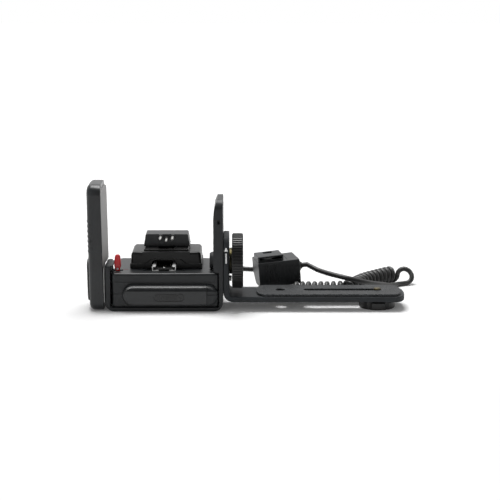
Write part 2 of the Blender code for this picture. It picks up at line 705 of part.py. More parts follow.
def make_battery_door(materials, hinge):
    corners = [
        (DOOR_LEFT, DOOR_LOW, DOOR_END_RADIUS),
        (DOOR_SEAM, DOOR_LOW),
        (DOOR_SEAM, DOOR_HIGH),
        (DOOR_LEFT, DOOR_HIGH, DOOR_END_RADIUS),
    ]
    face = FRONT - BULGE_DEPTH
    slab = prism(outline(corners, 6), "XZ", face, FRONT - GAP)
    soften(slab, DOOR_EDGE, 3, lambda at, along: near(at.y, face) and not near(at.x, DOOR_SEAM))
    door = make("battery_door", slab, materials["case"], hinge)

    inner_radius = (BAY_HIGH - BAY_LOW) / 2 - GAP - INNER_PLATE_INSET
    inner = [
        (BAY_LEFT + DOOR_TRAVEL + INNER_PLATE_INSET, BAY_LOW + INNER_PLATE_INSET, inner_radius),
        (BAY_RIGHT - INNER_PLATE_INSET, BAY_LOW + INNER_PLATE_INSET),
        (BAY_RIGHT - INNER_PLATE_INSET, BAY_HIGH - INNER_PLATE_INSET),
        (BAY_LEFT + DOOR_TRAVEL + INNER_PLATE_INSET, BAY_HIGH - INNER_PLATE_INSET, inner_radius),
    ]
    join(door, prism(outline(inner), "XZ", FRONT - BULGE_DEPTH / 2, FRONT + INNER_PLATE))

    radius = (PUSH_HIGH - PUSH_LOW) / 2 - GAP
    hollow = box_outline(PUSH_LEFT, PUSH_RIGHT, PUSH_LOW, PUSH_HIGH, radius, 5)
    cut(door, prism(hollow, "XZ", face - OVERRUN, face + PUSH_DEPTH))
    pitch = PUSH_RIB_SPAN / PUSH_RIBS
    middle = (PUSH_LOW + PUSH_HIGH) / 2
    for index in range(PUSH_RIBS):
        left = PUSH_LEFT + PUSH_RIB + (index + 0.5) * pitch
        half = radius - PUSH_RIB if 0 < index else radius - 2 * PUSH_RIB
        rib = box_outline(left, left + PUSH_RIB, middle - half, middle + half)
        join(door, prism(rib, "XZ", face, face + 2 * PUSH_DEPTH))
    disc = radius - PUSH_RIB / 2
    centre = PUSH_RIGHT - radius - PUSH_RIB / 2
    join(door, rod("Y", centre, middle, disc, face, face + 2 * PUSH_DEPTH, 20))
    arrow = [(centre - disc / 2, middle), (centre + disc / 2, middle - disc / 2), (centre + disc / 2, middle + disc / 2)]
    cut(door, prism(outline(arrow), "XZ", face - OVERRUN, face + PUSH_DEPTH / 2))
    return door


# Cells and the contacts at both ends of the bay

CELL_NUB = 1.2 * MM
CELL_NUB_DIAMETER = 5.4 * MM
CELL_CRIMP = 0.8 * MM
CONTACT_SHEET = 0.5 * MM
CONTACT_HEIGHT = 11.0 * MM
CONTACT_MARGIN = 1.6 * MM

CELLS_MIDDLE = (BAY_LEFT + BAY_RIGHT) / 2
CELL_FRONT = FRONT + INNER_PLATE + CONTACT_SHEET + 2 * GAP


def cell_x(index):
    return CELLS_MIDDLE + (index - (CELL_COUNT - 1) / 2) * CELL_PITCH


def make_cells(materials):
    radius = CELL_DIAMETER / 2
    for index in range(CELL_COUNT):
        flipped = index % 2
        low = CELL_FRONT
        high = CELL_FRONT + CELL_LENGTH
        profile = [(0, low), (radius - CELL_CRIMP, low), (radius, low + CELL_CRIMP)]
        profile += [(radius, high - CELL_NUB - CELL_CRIMP), (radius - CELL_CRIMP, high - CELL_NUB)]
        profile += [(CELL_NUB_DIAMETER / 2, high - CELL_NUB), (CELL_NUB_DIAMETER / 2, high), (0, high)]
        if flipped:
            profile = [(r, low + high - along) for r, along in reversed(profile)]
        make(f"aa_cell_{index + 1}", turned(profile, "Y", cell_x(index), CELL_HEIGHT, 16), materials["cell"])


def make_contacts(materials, door_hinge):
    left = cell_x(0) - CELL_DIAMETER / 2 + CONTACT_MARGIN
    right = cell_x(CELL_COUNT - 1) + CELL_DIAMETER / 2 - CONTACT_MARGIN
    low = CELL_HEIGHT - CONTACT_HEIGHT / 2
    high = CELL_HEIGHT + CONTACT_HEIGHT / 2
    strip = box_outline(left, right, low, high, CONTACT_MARGIN)
    back = CELL_FRONT + CELL_LENGTH + GAP
    make("rear_contacts", prism(strip, "XZ", back, BAY_BACK - GAP), materials["steel"])
    front = FRONT + INNER_PLATE + GAP
    plate = box_outline(left + DOOR_TRAVEL, right, low, high, CONTACT_MARGIN)
    make("door_contacts", prism(plate, "XZ", front, front + CONTACT_SHEET), materials["steel"], door_hinge)


# Circuit board, upright in its pocket beside the bay

BOARD_THICKNESS = 1.6 * MM
BOARD_PART_SIZE = 4.2 * MM
BOARD_PART_COUNT = 3


def make_circuit_board(materials):
    left = BOARD_POCKET_LEFT + GAP
    board = box_outline(
        BOARD_POCKET_FRONT + GAP, BOARD_POCKET_BACK - GAP, BOARD_POCKET_LOW + GAP, BOARD_POCKET_HIGH - GAP
    )
    obj = make("circuit_board", prism(board, "YZ", left, left + BOARD_THICKNESS), materials["board"])
    span = BOARD_POCKET_BACK - BOARD_POCKET_FRONT
    for index in range(BOARD_PART_COUNT):
        y = BOARD_POCKET_FRONT + span * (index + 0.5) / BOARD_PART_COUNT
        part = rod("X", y, PARTING_HEIGHT, BOARD_PART_SIZE / 2, left + BOARD_THICKNESS / 2, left + BOARD_PART_SIZE, 12)
        join(obj, part)


# Flash shoe: a bent channel with turned-in lips, on an insulating floor with its contacts

INSULATOR_HEIGHT = 0.9 * MM
INSULATOR_MARGIN = 0.5 * MM
INSULATOR_NOSE = 5.0 * MM
CONTACT_PROUD = 0.4 * MM
CENTRE_CONTACT = 4.0 * MM
SIDE_CONTACT = 1.6 * MM
SIDE_CONTACT_SPACING = 4.6 * MM


def make_shoe(materials):
    left = SHOE_OFFSET - SHOE_WIDTH / 2
    right = SHOE_OFFSET + SHOE_WIDTH / 2
    low = SHOE_FLOOR
    high = SHOE_FLOOR + SHOE_HEIGHT
    sheet = SHOE_SHEET
    corners = [
        (left, low, 1.5 * sheet),
        (right, low, 1.5 * sheet),
        (right, high, 1.2 * sheet),
        (right - SHOE_LIP, high),
        (right - SHOE_LIP, high - sheet),
        (right - sheet, high - sheet),
        (right - sheet, low + sheet),
        (left + sheet, low + sheet),
        (left + sheet, high - sheet),
        (left + SHOE_LIP, high - sheet),
        (left + SHOE_LIP, high),
        (left, high, 1.2 * sheet),
    ]
    rails = make("shoe_rails", prism(outline(corners, 3), "XZ", SHOE_FRONT, SHOE_FRONT + SHOE_LENGTH),
                 materials["chrome"])
    hole = LOCK_PIN_DIAMETER / 2 + GAP
    top = low + sheet + GAP + INSULATOR_HEIGHT
    cut(rails, rod("Z", SHOE_OFFSET, LEVER_Y, hole, low - OVERRUN, top, 16))

    inner = SHOE_WIDTH / 2 - sheet - INSULATOR_MARGIN
    plan = [
        (SHOE_OFFSET - inner, SHOE_FRONT + 2 * sheet),
        (SHOE_OFFSET - INSULATOR_NOSE, SHOE_FRONT + 2 * sheet),
        (SHOE_OFFSET - INSULATOR_NOSE, SHOE_FRONT, sheet),
        (SHOE_OFFSET + INSULATOR_NOSE, SHOE_FRONT, sheet),
        (SHOE_OFFSET + INSULATOR_NOSE, SHOE_FRONT + 2 * sheet),
        (SHOE_OFFSET + inner, SHOE_FRONT + 2 * sheet),
        (SHOE_OFFSET + inner, SHOE_FRONT + SHOE_LENGTH - sheet),
        (SHOE_OFFSET - inner, SHOE_FRONT + SHOE_LENGTH - sheet),
    ]
    floor = make("shoe_insulator", prism(outline(plan), "XY", low + sheet + GAP, top), materials["insulator"])
    reach = INSULATOR_NOSE - sheet
    chin = box_outline(SHOE_OFFSET - reach, SHOE_OFFSET + reach, SHOE_FRONT + GAP, SHOE_FRONT + 2 * sheet)
    join(floor, prism(chin, "XY", low + GAP, top - INSULATOR_HEIGHT / 2))
    notch = box_outline(SHOE_OFFSET - reach - GAP, SHOE_OFFSET + reach + GAP, SHOE_FRONT - OVERRUN,
                        SHOE_FRONT + 2 * sheet + GAP)
    cut(rails, prism(notch, "XY", low - OVERRUN, low + 2 * sheet))
    cut(floor, rod("Z", SHOE_OFFSET, LEVER_Y, hole, low, top + OVERRUN, 16))
    spots = [("shoe_contact_centre", 0, 0, CENTRE_CONTACT)]
    spots.append(("shoe_contact_ready", -SIDE_CONTACT_SPACING, SIDE_CONTACT_SPACING, SIDE_CONTACT))
    spots.append(("shoe_contact_quench", SIDE_CONTACT_SPACING, SIDE_CONTACT_SPACING, SIDE_CONTACT))
    for name, x, y, size in spots:
        seat = top - INSULATOR_HEIGHT / 2
        cut(floor, rod("Z", SHOE_OFFSET + x, y, size / 2 + GAP, seat, top + OVERRUN, 16))
        profile = [(0, seat + GAP), (size / 2, seat + GAP), (size / 2, top), (size / 4, top + CONTACT_PROUD)]
        profile.append((0, top + CONTACT_PROUD))
        make(name, turned(profile, "Z", SHOE_OFFSET + x, y, 16), materials["steel"])


# Terminal housing behind the shoe, and the head with the three power pins that enter the flash

BASE_HALF_WIDTH = 30.5 * MM
BASE_FRONT = -3.4 * MM
BASE_BACK = 31.0 * MM
BASE_TOP = 48.0 * MM
BASE_TOP_CORNER = 3.2 * MM
SKIRT_PROUD = 0.6 * MM
SKIRT_HEIGHT = 4.4 * MM
BASE_TOP_ROUND = 2.2 * MM
ARCH_HALF_TOP = 12.8 * MM
ARCH_HALF_FOOT = 17.4 * MM
ARCH_HEIGHT = 8.4 * MM
ARCH_BEND = 4.0 * MM
OPENING_HALF = 10.7 * MM
OPENING_HEIGHT = 7.4 * MM
OPENING_DEPTH = 17.4 * MM
LEDGE_HALF_WIDTH = 20.4 * MM
LEDGE_PROUD = 0.3 * MM
LEDGE_THICKNESS = 3.4 * MM
PLINTH_HALF_WIDTH = 19.2 * MM
PLINTH_FRONT = 1.4 * MM
PLINTH_HEIGHT = 1.5 * MM
HEAD_HALF_FOOT = 20.0 * MM
HEAD_HALF_TOP = 18.2 * MM
HEAD_FRONT = 12.0 * MM
HEAD_BACK = 30.0 * MM
HEAD_TOP = 60.5 * MM
HEAD_EDGE = 0.9 * MM
SCOOP_RADIUS = 7.4 * MM
SCOOP_DEPTH = 2.6 * MM
POWER_PIN_DIAMETER = 2.6 * MM
POWER_PIN_SPACING = 5.2 * MM
POWER_PIN_LENGTH = 12.0 * MM
POWER_PIN_ROOT = 4.0 * MM
POWER_PIN_HEIGHT = 58.2 * MM
POWER_PIN_DROP = 1.6 * MM
PIN_COLLAR = 4.4 * MM
PIN_COLLAR_LENGTH = 2.6 * MM


def power_pin_places():
    drops = (0, POWER_PIN_DROP, 0)
    return [((index - 1) * POWER_PIN_SPACING, POWER_PIN_HEIGHT - drop) for index, drop in enumerate(drops)]


def make_terminal(materials):
    foot = DECK_TOP + GAP
    corners = [
        (-BASE_HALF_WIDTH, foot),
        (BASE_HALF_WIDTH, foot),
        (BASE_HALF_WIDTH - BASE_TOP_CORNER / 4, BASE_TOP, BASE_TOP_CORNER),
        (-BASE_HALF_WIDTH + BASE_TOP_CORNER / 4, BASE_TOP, BASE_TOP_CORNER),
    ]
    low = foot + SKIRT_HEIGHT
    body = prism(outline(corners), "XZ", BASE_FRONT, BASE_BACK)
    soften(body, BASE_TOP_ROUND, 3, lambda at, along: near(at.y, BASE_FRONT) and at.z > low)
    soften(body, HEAD_EDGE, 2, lambda at, along: near(at.y, BASE_BACK) and at.z > low)
    base = make("connector_base", body, materials["case"])
    skirt_side = BASE_HALF_WIDTH + SKIRT_PROUD / 2
    skirt = outline([
        (-skirt_side, foot),
        (skirt_side, foot),
        (skirt_side, low),
        (ARCH_HALF_FOOT, low, ARCH_BEND),
        (ARCH_HALF_TOP, foot + ARCH_HEIGHT, ARCH_BEND),
        (-ARCH_HALF_TOP, foot + ARCH_HEIGHT, ARCH_BEND),
        (-ARCH_HALF_FOOT, low, ARCH_BEND),
        (-skirt_side, low),
    ])
    skirt_solid = prism(skirt, "XZ", BASE_FRONT - SKIRT_PROUD, BASE_BACK + SKIRT_PROUD / 2)
    soften(skirt_solid, SOFT_EDGE, 1, lambda at, along: near(at.y, BASE_FRONT - SKIRT_PROUD) and at.z > foot + GAP)
    join(base, skirt_solid)
    ledge_top = BASE_TOP - GAP / 4
    ledge = box_outline(-LEDGE_HALF_WIDTH, LEDGE_HALF_WIDTH, BASE_TOP - LEDGE_THICKNESS, ledge_top)
    ledge_solid = prism(ledge, "XZ", BASE_FRONT - LEDGE_PROUD, BASE_FRONT + 2 * BASE_TOP_ROUND)
    plinth = box_outline(-PLINTH_HALF_WIDTH, PLINTH_HALF_WIDTH, BASE_TOP - SOFT_EDGE, BASE_TOP + PLINTH_HEIGHT)
    plinth_solid = soften(prism(plinth, "XZ", PLINTH_FRONT, HEAD_BACK - SOFT_EDGE), SOFT_EDGE, 1,
                          lambda at, along: near(at.z, BASE_TOP + PLINTH_HEIGHT))
    join(base, gathered([ledge_solid, plinth_solid]))
    opening = [
        (SHOE_OFFSET - OPENING_HALF, foot - OVERRUN),
        (SHOE_OFFSET + OPENING_HALF, foot - OVERRUN),
        (SHOE_OFFSET + OPENING_HALF, foot + OPENING_HEIGHT, SHOE_LIP),
        (SHOE_OFFSET - OPENING_HALF, foot + OPENING_HEIGHT, SHOE_LIP),
    ]
    mouth = BASE_FRONT - SKIRT_PROUD - OVERRUN
    cut(base, prism(outline(opening), "XZ", mouth, BASE_FRONT + OPENING_DEPTH))
    head_foot = BASE_TOP + PLINTH_HEIGHT + GAP
    scoop = rod("Z", 0, HEAD_FRONT - SCOOP_RADIUS / 4, SCOOP_RADIUS, head_foot - SCOOP_DEPTH, head_foot + OVERRUN)
    cut(base, scoop)

    corners = [
        (-HEAD_HALF_FOOT, head_foot),
        (HEAD_HALF_FOOT, head_foot),
        (HEAD_HALF_TOP, HEAD_TOP, HEAD_EDGE),
        (-HEAD_HALF_TOP, HEAD_TOP, HEAD_EDGE),
    ]
    block = prism(outline(corners, 2), "XZ", HEAD_FRONT, HEAD_BACK)
    soften(block, HEAD_EDGE, 2, lambda at, along: not near(at.z, head_foot))
    head = make("connector_head", block, materials["case"])
    places = power_pin_places()
    near_end = HEAD_FRONT - PIN_COLLAR_LENGTH
    far_end = HEAD_FRONT + PIN_COLLAR_LENGTH
    join(head, gathered([rod("Y", x, z, PIN_COLLAR / 2, near_end, far_end, 16) for x, z in places]))
    end = HEAD_FRONT + POWER_PIN_ROOT
    tip = HEAD_FRONT - POWER_PIN_LENGTH
    radius = POWER_PIN_DIAMETER / 2
    cut(head, gathered([rod("Y", x, z, radius + GAP, tip, end + GAP, 16) for x, z in places]))
    for index, (x, z) in enumerate(places):
        profile = [(0, tip), (radius / 2, tip), (radius, tip + radius), (radius, end), (0, end)]
        make(f"power_pin_{index + 1}", turned(profile, "Y", x, z, 16), materials["chrome"])


# Lock: the red lever swings about its pin, draws the bar aside and lets the shoe's lock pin drop

BAR_SLOT_PLAY = 0.5 * MM
BAR_SLOT_SWING_PLAY = 1.25 * MM
LOCK_PIN_TIP = 0.3 * MM
LEVER_BLEND = 1.0 * MM


def make_lock(materials, lever_hinge, bar_slide, pin_slide):
    tip = LEVER_TIP_WIDTH / 2
    half_view = [
        (tip, LEVER_TIP, tip / 2),
        (tip, LEVER_PIVOT_HEIGHT - LEVER_PIN_DIAMETER),
        (LEVER_HUB_WIDTH / 2, LEVER_PIVOT_HEIGHT - LEVER_PIN_DIAMETER / 2, LEVER_PIN_DIAMETER / 4),
        (LEVER_HUB_WIDTH / 2, LEVER_PIVOT_HEIGHT + LEVER_PIN_DIAMETER / 2, LEVER_PIN_DIAMETER / 4),
        (LEVER_NECK_WIDTH / 2, LEVER_PIVOT_HEIGHT + LEVER_PIN_DIAMETER),
        (LEVER_NECK_WIDTH / 2, DECK_TOP),
        (LEVER_WIDTH / 2, LEVER_WIDE_HEIGHT, LEVER_WIDTH),
        (LEVER_CROWN_WIDTH / 2, LEVER_TOP, LEVER_CROWN_WIDTH / 2 - GAP),
    ]
    corners = [(LEVER_X + side, *rest) for side, *rest in half_view]
    corners += [(LEVER_X - side, *rest) for side, *rest in reversed(half_view)]
    thick = LEVER_THICKNESS / 2
    blade = prism(outline(corners, 3), "XZ", LEVER_Y - thick, LEVER_Y + thick)
    soften(blade, SOFT_EDGE, 1, lambda at, along: at.z > DECK_TOP)
    lever = make("lock_lever", blade, materials["red"], lever_hinge)
    bore = LEVER_PIN_DIAMETER / 2 + GAP
    cut(lever, rod("Y", LEVER_X, LEVER_PIVOT_HEIGHT, bore, LEVER_Y - 2 * thick, LEVER_Y + 2 * thick, 12))
    reach = thick + LEVER_SIDE_PLAY + LEVER_THICKNESS - GAP
    pin = rod("Y", LEVER_X, LEVER_PIVOT_HEIGHT, LEVER_PIN_DIAMETER / 2, LEVER_Y - reach, LEVER_Y + reach, 12)
    make("lever_pin", pin, materials["steel"])

    left = LEVER_X - tip - BAR_SLOT_PLAY - SHOE_SHEET
    ramp_drop = LOCK_PIN_DROP * (LOCK_BAR_END - SHOE_OFFSET) / LOCK_BAR_RUN
    floor = max(LOCK_BAR_HIGH - ramp_drop, LOCK_BAR_LOW + SHOE_SHEET)
    ramp_end = SHOE_OFFSET + (LOCK_BAR_HIGH - floor) * LOCK_BAR_RUN / LOCK_PIN_DROP
    side = [
        (left, LOCK_BAR_LOW),
        (LOCK_BAR_END, LOCK_BAR_LOW),
        (LOCK_BAR_END, floor),
        (ramp_end, floor),
        (SHOE_OFFSET, LOCK_BAR_HIGH),
        (left, LOCK_BAR_HIGH),
    ]
    width = LOCK_BAR_WIDTH / 2
    bar = make("lock_bar", prism(outline(side), "XZ", LEVER_Y - width, LEVER_Y + width), materials["steel"],
               bar_slide)
    eye = box_outline(LEVER_X - tip - BAR_SLOT_PLAY, LEVER_X + tip + BAR_SLOT_SWING_PLAY, LEVER_Y - thick - GAP,
                      LEVER_Y + thick + GAP)
    cut(bar, prism(eye, "XY", LOCK_BAR_LOW - OVERRUN, LOCK_BAR_HIGH + OVERRUN))

    radius = LOCK_PIN_DIAMETER / 2
    low = LOCK_BAR_HIGH + GAP
    high = SHOE_FLOOR + SHOE_SHEET + GAP + INSULATOR_HEIGHT + LOCK_PIN_PROUD
    profile = [(0, low), (LOCK_PIN_TIP, low), (radius, low + radius), (radius, high - LOCK_PIN_TIP)]
    profile += [(radius - LOCK_PIN_TIP, high), (0, high)]
    make("shoe_lock_pin", turned(profile, "Z", SHOE_OFFSET, LEVER_Y, 16), materials["steel"], pin_slide)


# Hand grip: a hollow-backed shell that leans out a little, with a liner on its inner face and a palm pad outside

GRIP_FOOT = 0.5 * MM
GRIP_INNER = -52.2 * MM
GRIP_LEAN = 1.2 * MM
GRIP_ROUND = 4.3 * MM
GRIP_CORNER = 6.5 * MM
GRIP_TOP_FRONT_CORNER = 9.0 * MM
GRIP_EDGE = 1.0 * MM
LINER_THICKNESS = 1.0 * MM
LINER_LOW = 38.5 * MM
LINER_HIGH = 104.2 * MM
LINER_FRONT_INSET = 1.2 * MM
LINER_SPLAY = 1.6 * MM
RELIEF_DEPTH = 3.6 * MM
RELIEF_START = 24.0 * MM
GRIP_RIBS = 7
GRIP_RIB_LOW = 51.0 * MM
GRIP_RIB_PITCH = 4.3 * MM
GRIP_RIB_HEIGHT = 1.6 * MM
GRIP_RIB_PROUD = 0.32 * MM
PALM_PROUD = 2.0 * MM
PALM_SEAT = 1.5 * MM
PALM_LOW = 7.0 * MM
PALM_HIGH = 43.0 * MM
PALM_FRONT = 7.0 * MM
PALM_BACK = 32.0 * MM
PALM_CORNER = 6.0 * MM
PALM_ROUND = 1.0 * MM
MOUNT_PLATE = 0.4 * MM
MOUNT_PLATE_LOW = 8.0 * MM
MOUNT_PLATE_HIGH = 37.0 * MM
MOUNT_PLATE_DEPTH = 26.0 * MM

GRIP_OUTER = GRIP_INNER - GRIP_THICKNESS
GRIP_BACK = FRONT + GRIP_DEPTH
PLATE_OUTER = FRAME_LEFT - GAP - MOUNT_PLATE


def leaned(bm):
    """The solid with its upper end moved out, as the whole grip leans."""
    for vert in bm.verts:
        vert.co.x -= GRIP_LEAN * vert.co.z / GRIP_HEIGHT
    return bm


def liner_side(margin):
    """The liner's outline from the side, which follows the grip's upper corners."""
    front = FRONT + LINER_FRONT_INSET
    top_front = GRIP_TOP_FRONT_CORNER - LINER_FRONT_INSET
    return outline([
        (front - margin, LINER_LOW - margin, GRIP_EDGE),
        (GRIP_BACK + 2 * margin, LINER_LOW - margin, GRIP_EDGE),
        (GRIP_BACK + 2 * margin, LINER_HIGH + margin, GRIP_CORNER),
        (front - margin, LINER_HIGH + margin, top_front),
    ])


def make_grip(materials):
    side_view = [
        (FRONT, GRIP_FOOT, GRIP_CORNER),
        (GRIP_BACK, GRIP_FOOT, GRIP_CORNER),
        (GRIP_BACK, GRIP_HEIGHT, GRIP_CORNER),
        (FRONT, GRIP_HEIGHT, GRIP_TOP_FRONT_CORNER),
    ]
    body = prism(outline(side_view, 4), "YZ", GRIP_OUTER, GRIP_INNER)
    soften(body, GRIP_ROUND, 3, lambda at, along: near(at.x, GRIP_OUTER))
    soften(body, GRIP_EDGE, 2, lambda at, along: near(at.x, GRIP_INNER))
    shell = make("grip_shell", leaned(body), materials["frame"])
    seat = LINER_THICKNESS + GAP
    cut(shell, leaned(prism(liner_side(GAP), "YZ", GRIP_INNER - seat, GRIP_INNER + OVERRUN)))
    relief = box_outline(GRIP_INNER - RELIEF_DEPTH, GRIP_INNER + OVERRUN, GRIP_FOOT + GRIP_CORNER,
                         LINER_LOW - GRIP_EDGE)
    cut(shell, prism(relief, "XZ", FRONT + RELIEF_START, GRIP_BACK + OVERRUN))
    out = GRIP_OUTER - GRIP_RIB_PROUD
    inward = GRIP_OUTER + GRIP_ROUND
    front = FRONT - GRIP_RIB_PROUD / 2
    back = GRIP_BACK + GRIP_RIB_PROUD / 2
    round_out = GRIP_ROUND + GRIP_RIB_PROUD / 2
    rib = outline([(out, front, round_out), (inward, front), (inward, back), (out, back, round_out)], 3)
    lows = [GRIP_RIB_LOW + index * GRIP_RIB_PITCH for index in range(GRIP_RIBS)]
    join(shell, leaned(gathered([prism(rib, "XY", low, low + GRIP_RIB_HEIGHT) for low in lows])))
    margin = PALM_SEAT + GAP
    hollow = box_outline(FRONT + PALM_FRONT - GAP, FRONT + PALM_BACK + GAP, PALM_LOW - GAP, PALM_HIGH + GAP,
                         PALM_CORNER)
    cut(shell, leaned(prism(hollow, "YZ", GRIP_OUTER - OVERRUN, GRIP_OUTER + margin)))
    shank = GRIP_SCREW_SHANK / 2 + GAP
    end = GRIP_INNER - GRIP_SCREW_LENGTH / 2 - GRIP_EDGE
    holes = [rod("X", y, z, shank, end, GRIP_INNER + OVERRUN, 16) for y, z in grip_screw_places()]
    cut(shell, gathered(holes))

    strip = prism(liner_side(0), "YZ", GRIP_INNER - LINER_THICKNESS, GRIP_INNER)
    for vert in strip.verts:
        if near(vert.co.x, GRIP_INNER):
            vert.co.x += LINER_SPLAY * (vert.co.y - FRONT) / GRIP_DEPTH
    make("grip_liner", leaned(strip), materials["liner"])

    palm = box_outline(FRONT + PALM_FRONT, FRONT + PALM_BACK, PALM_LOW, PALM_HIGH, PALM_CORNER)
    pad = prism(palm, "YZ", GRIP_OUTER - PALM_PROUD, GRIP_OUTER + PALM_SEAT)
    soften(pad, PALM_ROUND, 3, lambda at, along: near(at.x, GRIP_OUTER - PALM_PROUD))
    make("grip_pad", leaned(pad), materials["rubber"])

    plate = box_outline(FRONT + SOFT_EDGE, FRONT + MOUNT_PLATE_DEPTH, MOUNT_PLATE_LOW, MOUNT_PLATE_HIGH)
    steel = make("grip_plate", prism(plate, "YZ", PLATE_OUTER, PLATE_OUTER + MOUNT_PLATE), materials["steel"])
    for index, (y, z) in enumerate(grip_screw_places()):
        shank = GRIP_SCREW_SHANK / 2
        cut(steel, rod("X", y, z, shank + GAP, PLATE_OUTER - OVERRUN, PLATE_OUTER + OVERRUN, 16))
        head = GRIP_SCREW_HEAD / 2
        top = WALL_INNER_LEFT - GAP
        under = top - GRIP_SCREW_HEAD_HEIGHT
        profile = [(0, top - GRIP_SCREW_LENGTH), (shank, top - GRIP_SCREW_LENGTH), (shank, under), (head, under)]
        profile += [(head, top), (0, top)]
        make(f"grip_screw_{index + 1}", turned(profile, "X", y, z, 12), materials["steel"])


def make_case_screws(materials):
    for index, (x, y) in enumerate(case_screw_places()):
        head = CASE_SCREW_HEAD / 2
        shank = CASE_SCREW_SHANK / 2
        top = GAP + CASE_SCREW_LENGTH
        profile = [(0, GAP), (head - GAP, GAP), (head, 2 * GAP), (head, GAP + CASE_SCREW_HEAD_HEIGHT)]
        profile += [(shank, GAP + CASE_SCREW_HEAD_HEIGHT), (shank, top), (0, top)]
        make(f"case_screw_{index + 1}", turned(profile, "Z", x, y, 12), materials["steel"])


# Bracket arm: a flat bar bent at a right angle, with the camera pad, the tripod bush and the screw slot

LEG_TOP_CORNER = 10.0 * MM
END_BOW = 8.6 * MM
PAD_BOW = 8.0 * MM
BOW_FULLNESS = 2.4
BOW_STEPS = 14
BEND_RADIUS = 8.5 * MM
ARM_EDGE = 0.5 * MM
PAD_START = 77.3 * MM
PAD_MARGIN = 1.0 * MM
PAD_TIP_MARGIN = 3.0 * MM
PAD_EDGE = 0.4 * MM
SCREW_REST_X = 181.3 * MM
BUSH_X = 97.9 * MM
BUSH_DIAMETER = 10.6 * MM
BUSH_BORE = 6.8 * MM
PAD_HOLE = 8.0 * MM
MARK_DEPTH = 0.15 * MM

SLOT_RIGHT = SCREW_REST_X + SLOT_WIDTH / 2
SLOT_LEFT = SCREW_REST_X - SLOT_TRAVEL - SLOT_WIDTH / 2


def slot_cutter(low, high, margin=0):
    radius = SLOT_WIDTH / 2 + margin
    side = radius - GAP / 10
    plan = box_outline(SLOT_LEFT - margin, SLOT_RIGHT + margin, ARM_MIDDLE - radius, ARM_MIDDLE + radius, side, 5)
    return prism(plan, "XY", low, high)


def bow(reach, half, step):
    """A point of a bowed end that is fuller than an ellipse: how far back from the tip, and across."""
    turn = math.pi * (step / BOW_STEPS - 0.5)
    back = reach * (1 - abs(math.cos(turn)) ** (2 / BOW_FULLNESS))
    across = math.copysign(half * abs(math.sin(turn)) ** (2 / BOW_FULLNESS), turn)
    return back, across


def bow_end(bm, reach):
    """Bow the flat end of the arm outwards."""
    rims = [edge for edge in bm.edges if all(near(vert.co.x, ARM_END) for vert in edge.verts)]
    level = [edge for edge in rims if near(edge.verts[0].co.z, edge.verts[1].co.z)]
    bmesh.ops.subdivide_edges(bm, edges=level, cuts=BOW_STEPS - 1, use_grid_fill=True)
    for height in (ARM_UNDERSIDE, ARM_TOP_FACE):
        spots = [vert for vert in bm.verts if near(vert.co.x, ARM_END) and near(vert.co.z, height)]
        for step, vert in enumerate(sorted(spots, key=lambda vert: vert.co.y)):
            back, across = bow(reach, ARM_WIDTH / 2, step)
            vert.co.x = ARM_END - back
            vert.co.y = ARM_MIDDLE + across
    return bm


def pad_plan():
    half = ARM_WIDTH / 2 - PAD_MARGIN
    tip = ARM_END - PAD_TIP_MARGIN
    ends = [bow(PAD_BOW, half, step) for step in range(BOW_STEPS + 1)]
    right = [Vector((tip - back, ARM_MIDDLE + across)) for back, across in ends]
    left = [Vector((PAD_START + back, ARM_MIDDLE - across)) for back, across in ends]
    return right + left


def make_arm(materials):
    profile = [
        (LEG_INNER, ARM_UNDERSIDE, BEND_RADIUS),
        (ARM_END, ARM_UNDERSIDE),
        (ARM_END, ARM_TOP_FACE),
        (LEG_OUTER, ARM_TOP_FACE, BEND_RADIUS - ARM_THICKNESS),
        (LEG_OUTER, ARM_TOP),
        (LEG_INNER, ARM_TOP),
    ]
    bar = prism(outline(profile, 6), "XZ", ARM_FRONT, ARM_BACK)
    soften(bar, LEG_TOP_CORNER, 6, lambda at, along: near(at.z, ARM_TOP) and abs(along.x) > 0.9)
    bow_end(bar, END_BOW)
    soften(bar, ARM_EDGE, 1, None, RIM_ANGLE)
    arm = make("bracket_arm", bar, materials["paint"])
    clamp = CLAMP_SCREW_DIAMETER / 2 + GAP
    cut(arm, rod("X", ARM_MIDDLE, CLAMP_HEIGHT, clamp, LEG_INNER - OVERRUN, LEG_OUTER + OVERRUN))
    pin = PIN_DIAMETER / 2 + GAP
    cut(arm, rod("X", ARM_MIDDLE, PIN_HEIGHT, pin, LEG_INNER - OVERRUN, LEG_OUTER + OVERRUN))
    cut(arm, slot_cutter(ARM_UNDERSIDE - OVERRUN, ARM_TOP_FACE + OVERRUN))
    bush = BUSH_DIAMETER / 2 + GAP
    cut(arm, rod("Z", BUSH_X, ARM_MIDDLE, bush, ARM_UNDERSIDE - OVERRUN, ARM_TOP_FACE + OVERRUN))

    low = ARM_TOP_FACE + GAP
    pad_solid = prism(pad_plan(), "XY", low, PAD_TOP)
    soften(pad_solid, PAD_EDGE, 1, lambda at, along: near(at.z, PAD_TOP))
    pad = make("arm_pad", pad_solid, materials["rubber"])
    cut(pad, slot_cutter(low - OVERRUN, PAD_TOP + OVERRUN))
    cut(pad, rod("Z", BUSH_X, ARM_MIDDLE, PAD_HOLE / 2, low - OVERRUN, PAD_TOP + OVERRUN))

    outer = BUSH_DIAMETER / 2
    inner = BUSH_BORE / 2
    ring = [(inner, ARM_UNDERSIDE), (outer, ARM_UNDERSIDE), (outer, ARM_TOP_FACE), (inner, ARM_TOP_FACE)]
    make("tripod_bush", turned(ring, "Z", BUSH_X, ARM_MIDDLE, 24, hollow=True), materials["steel"])


# Clamp: a screw through the arm into a nut in the upright, with a brass collar and a large ribbed knob

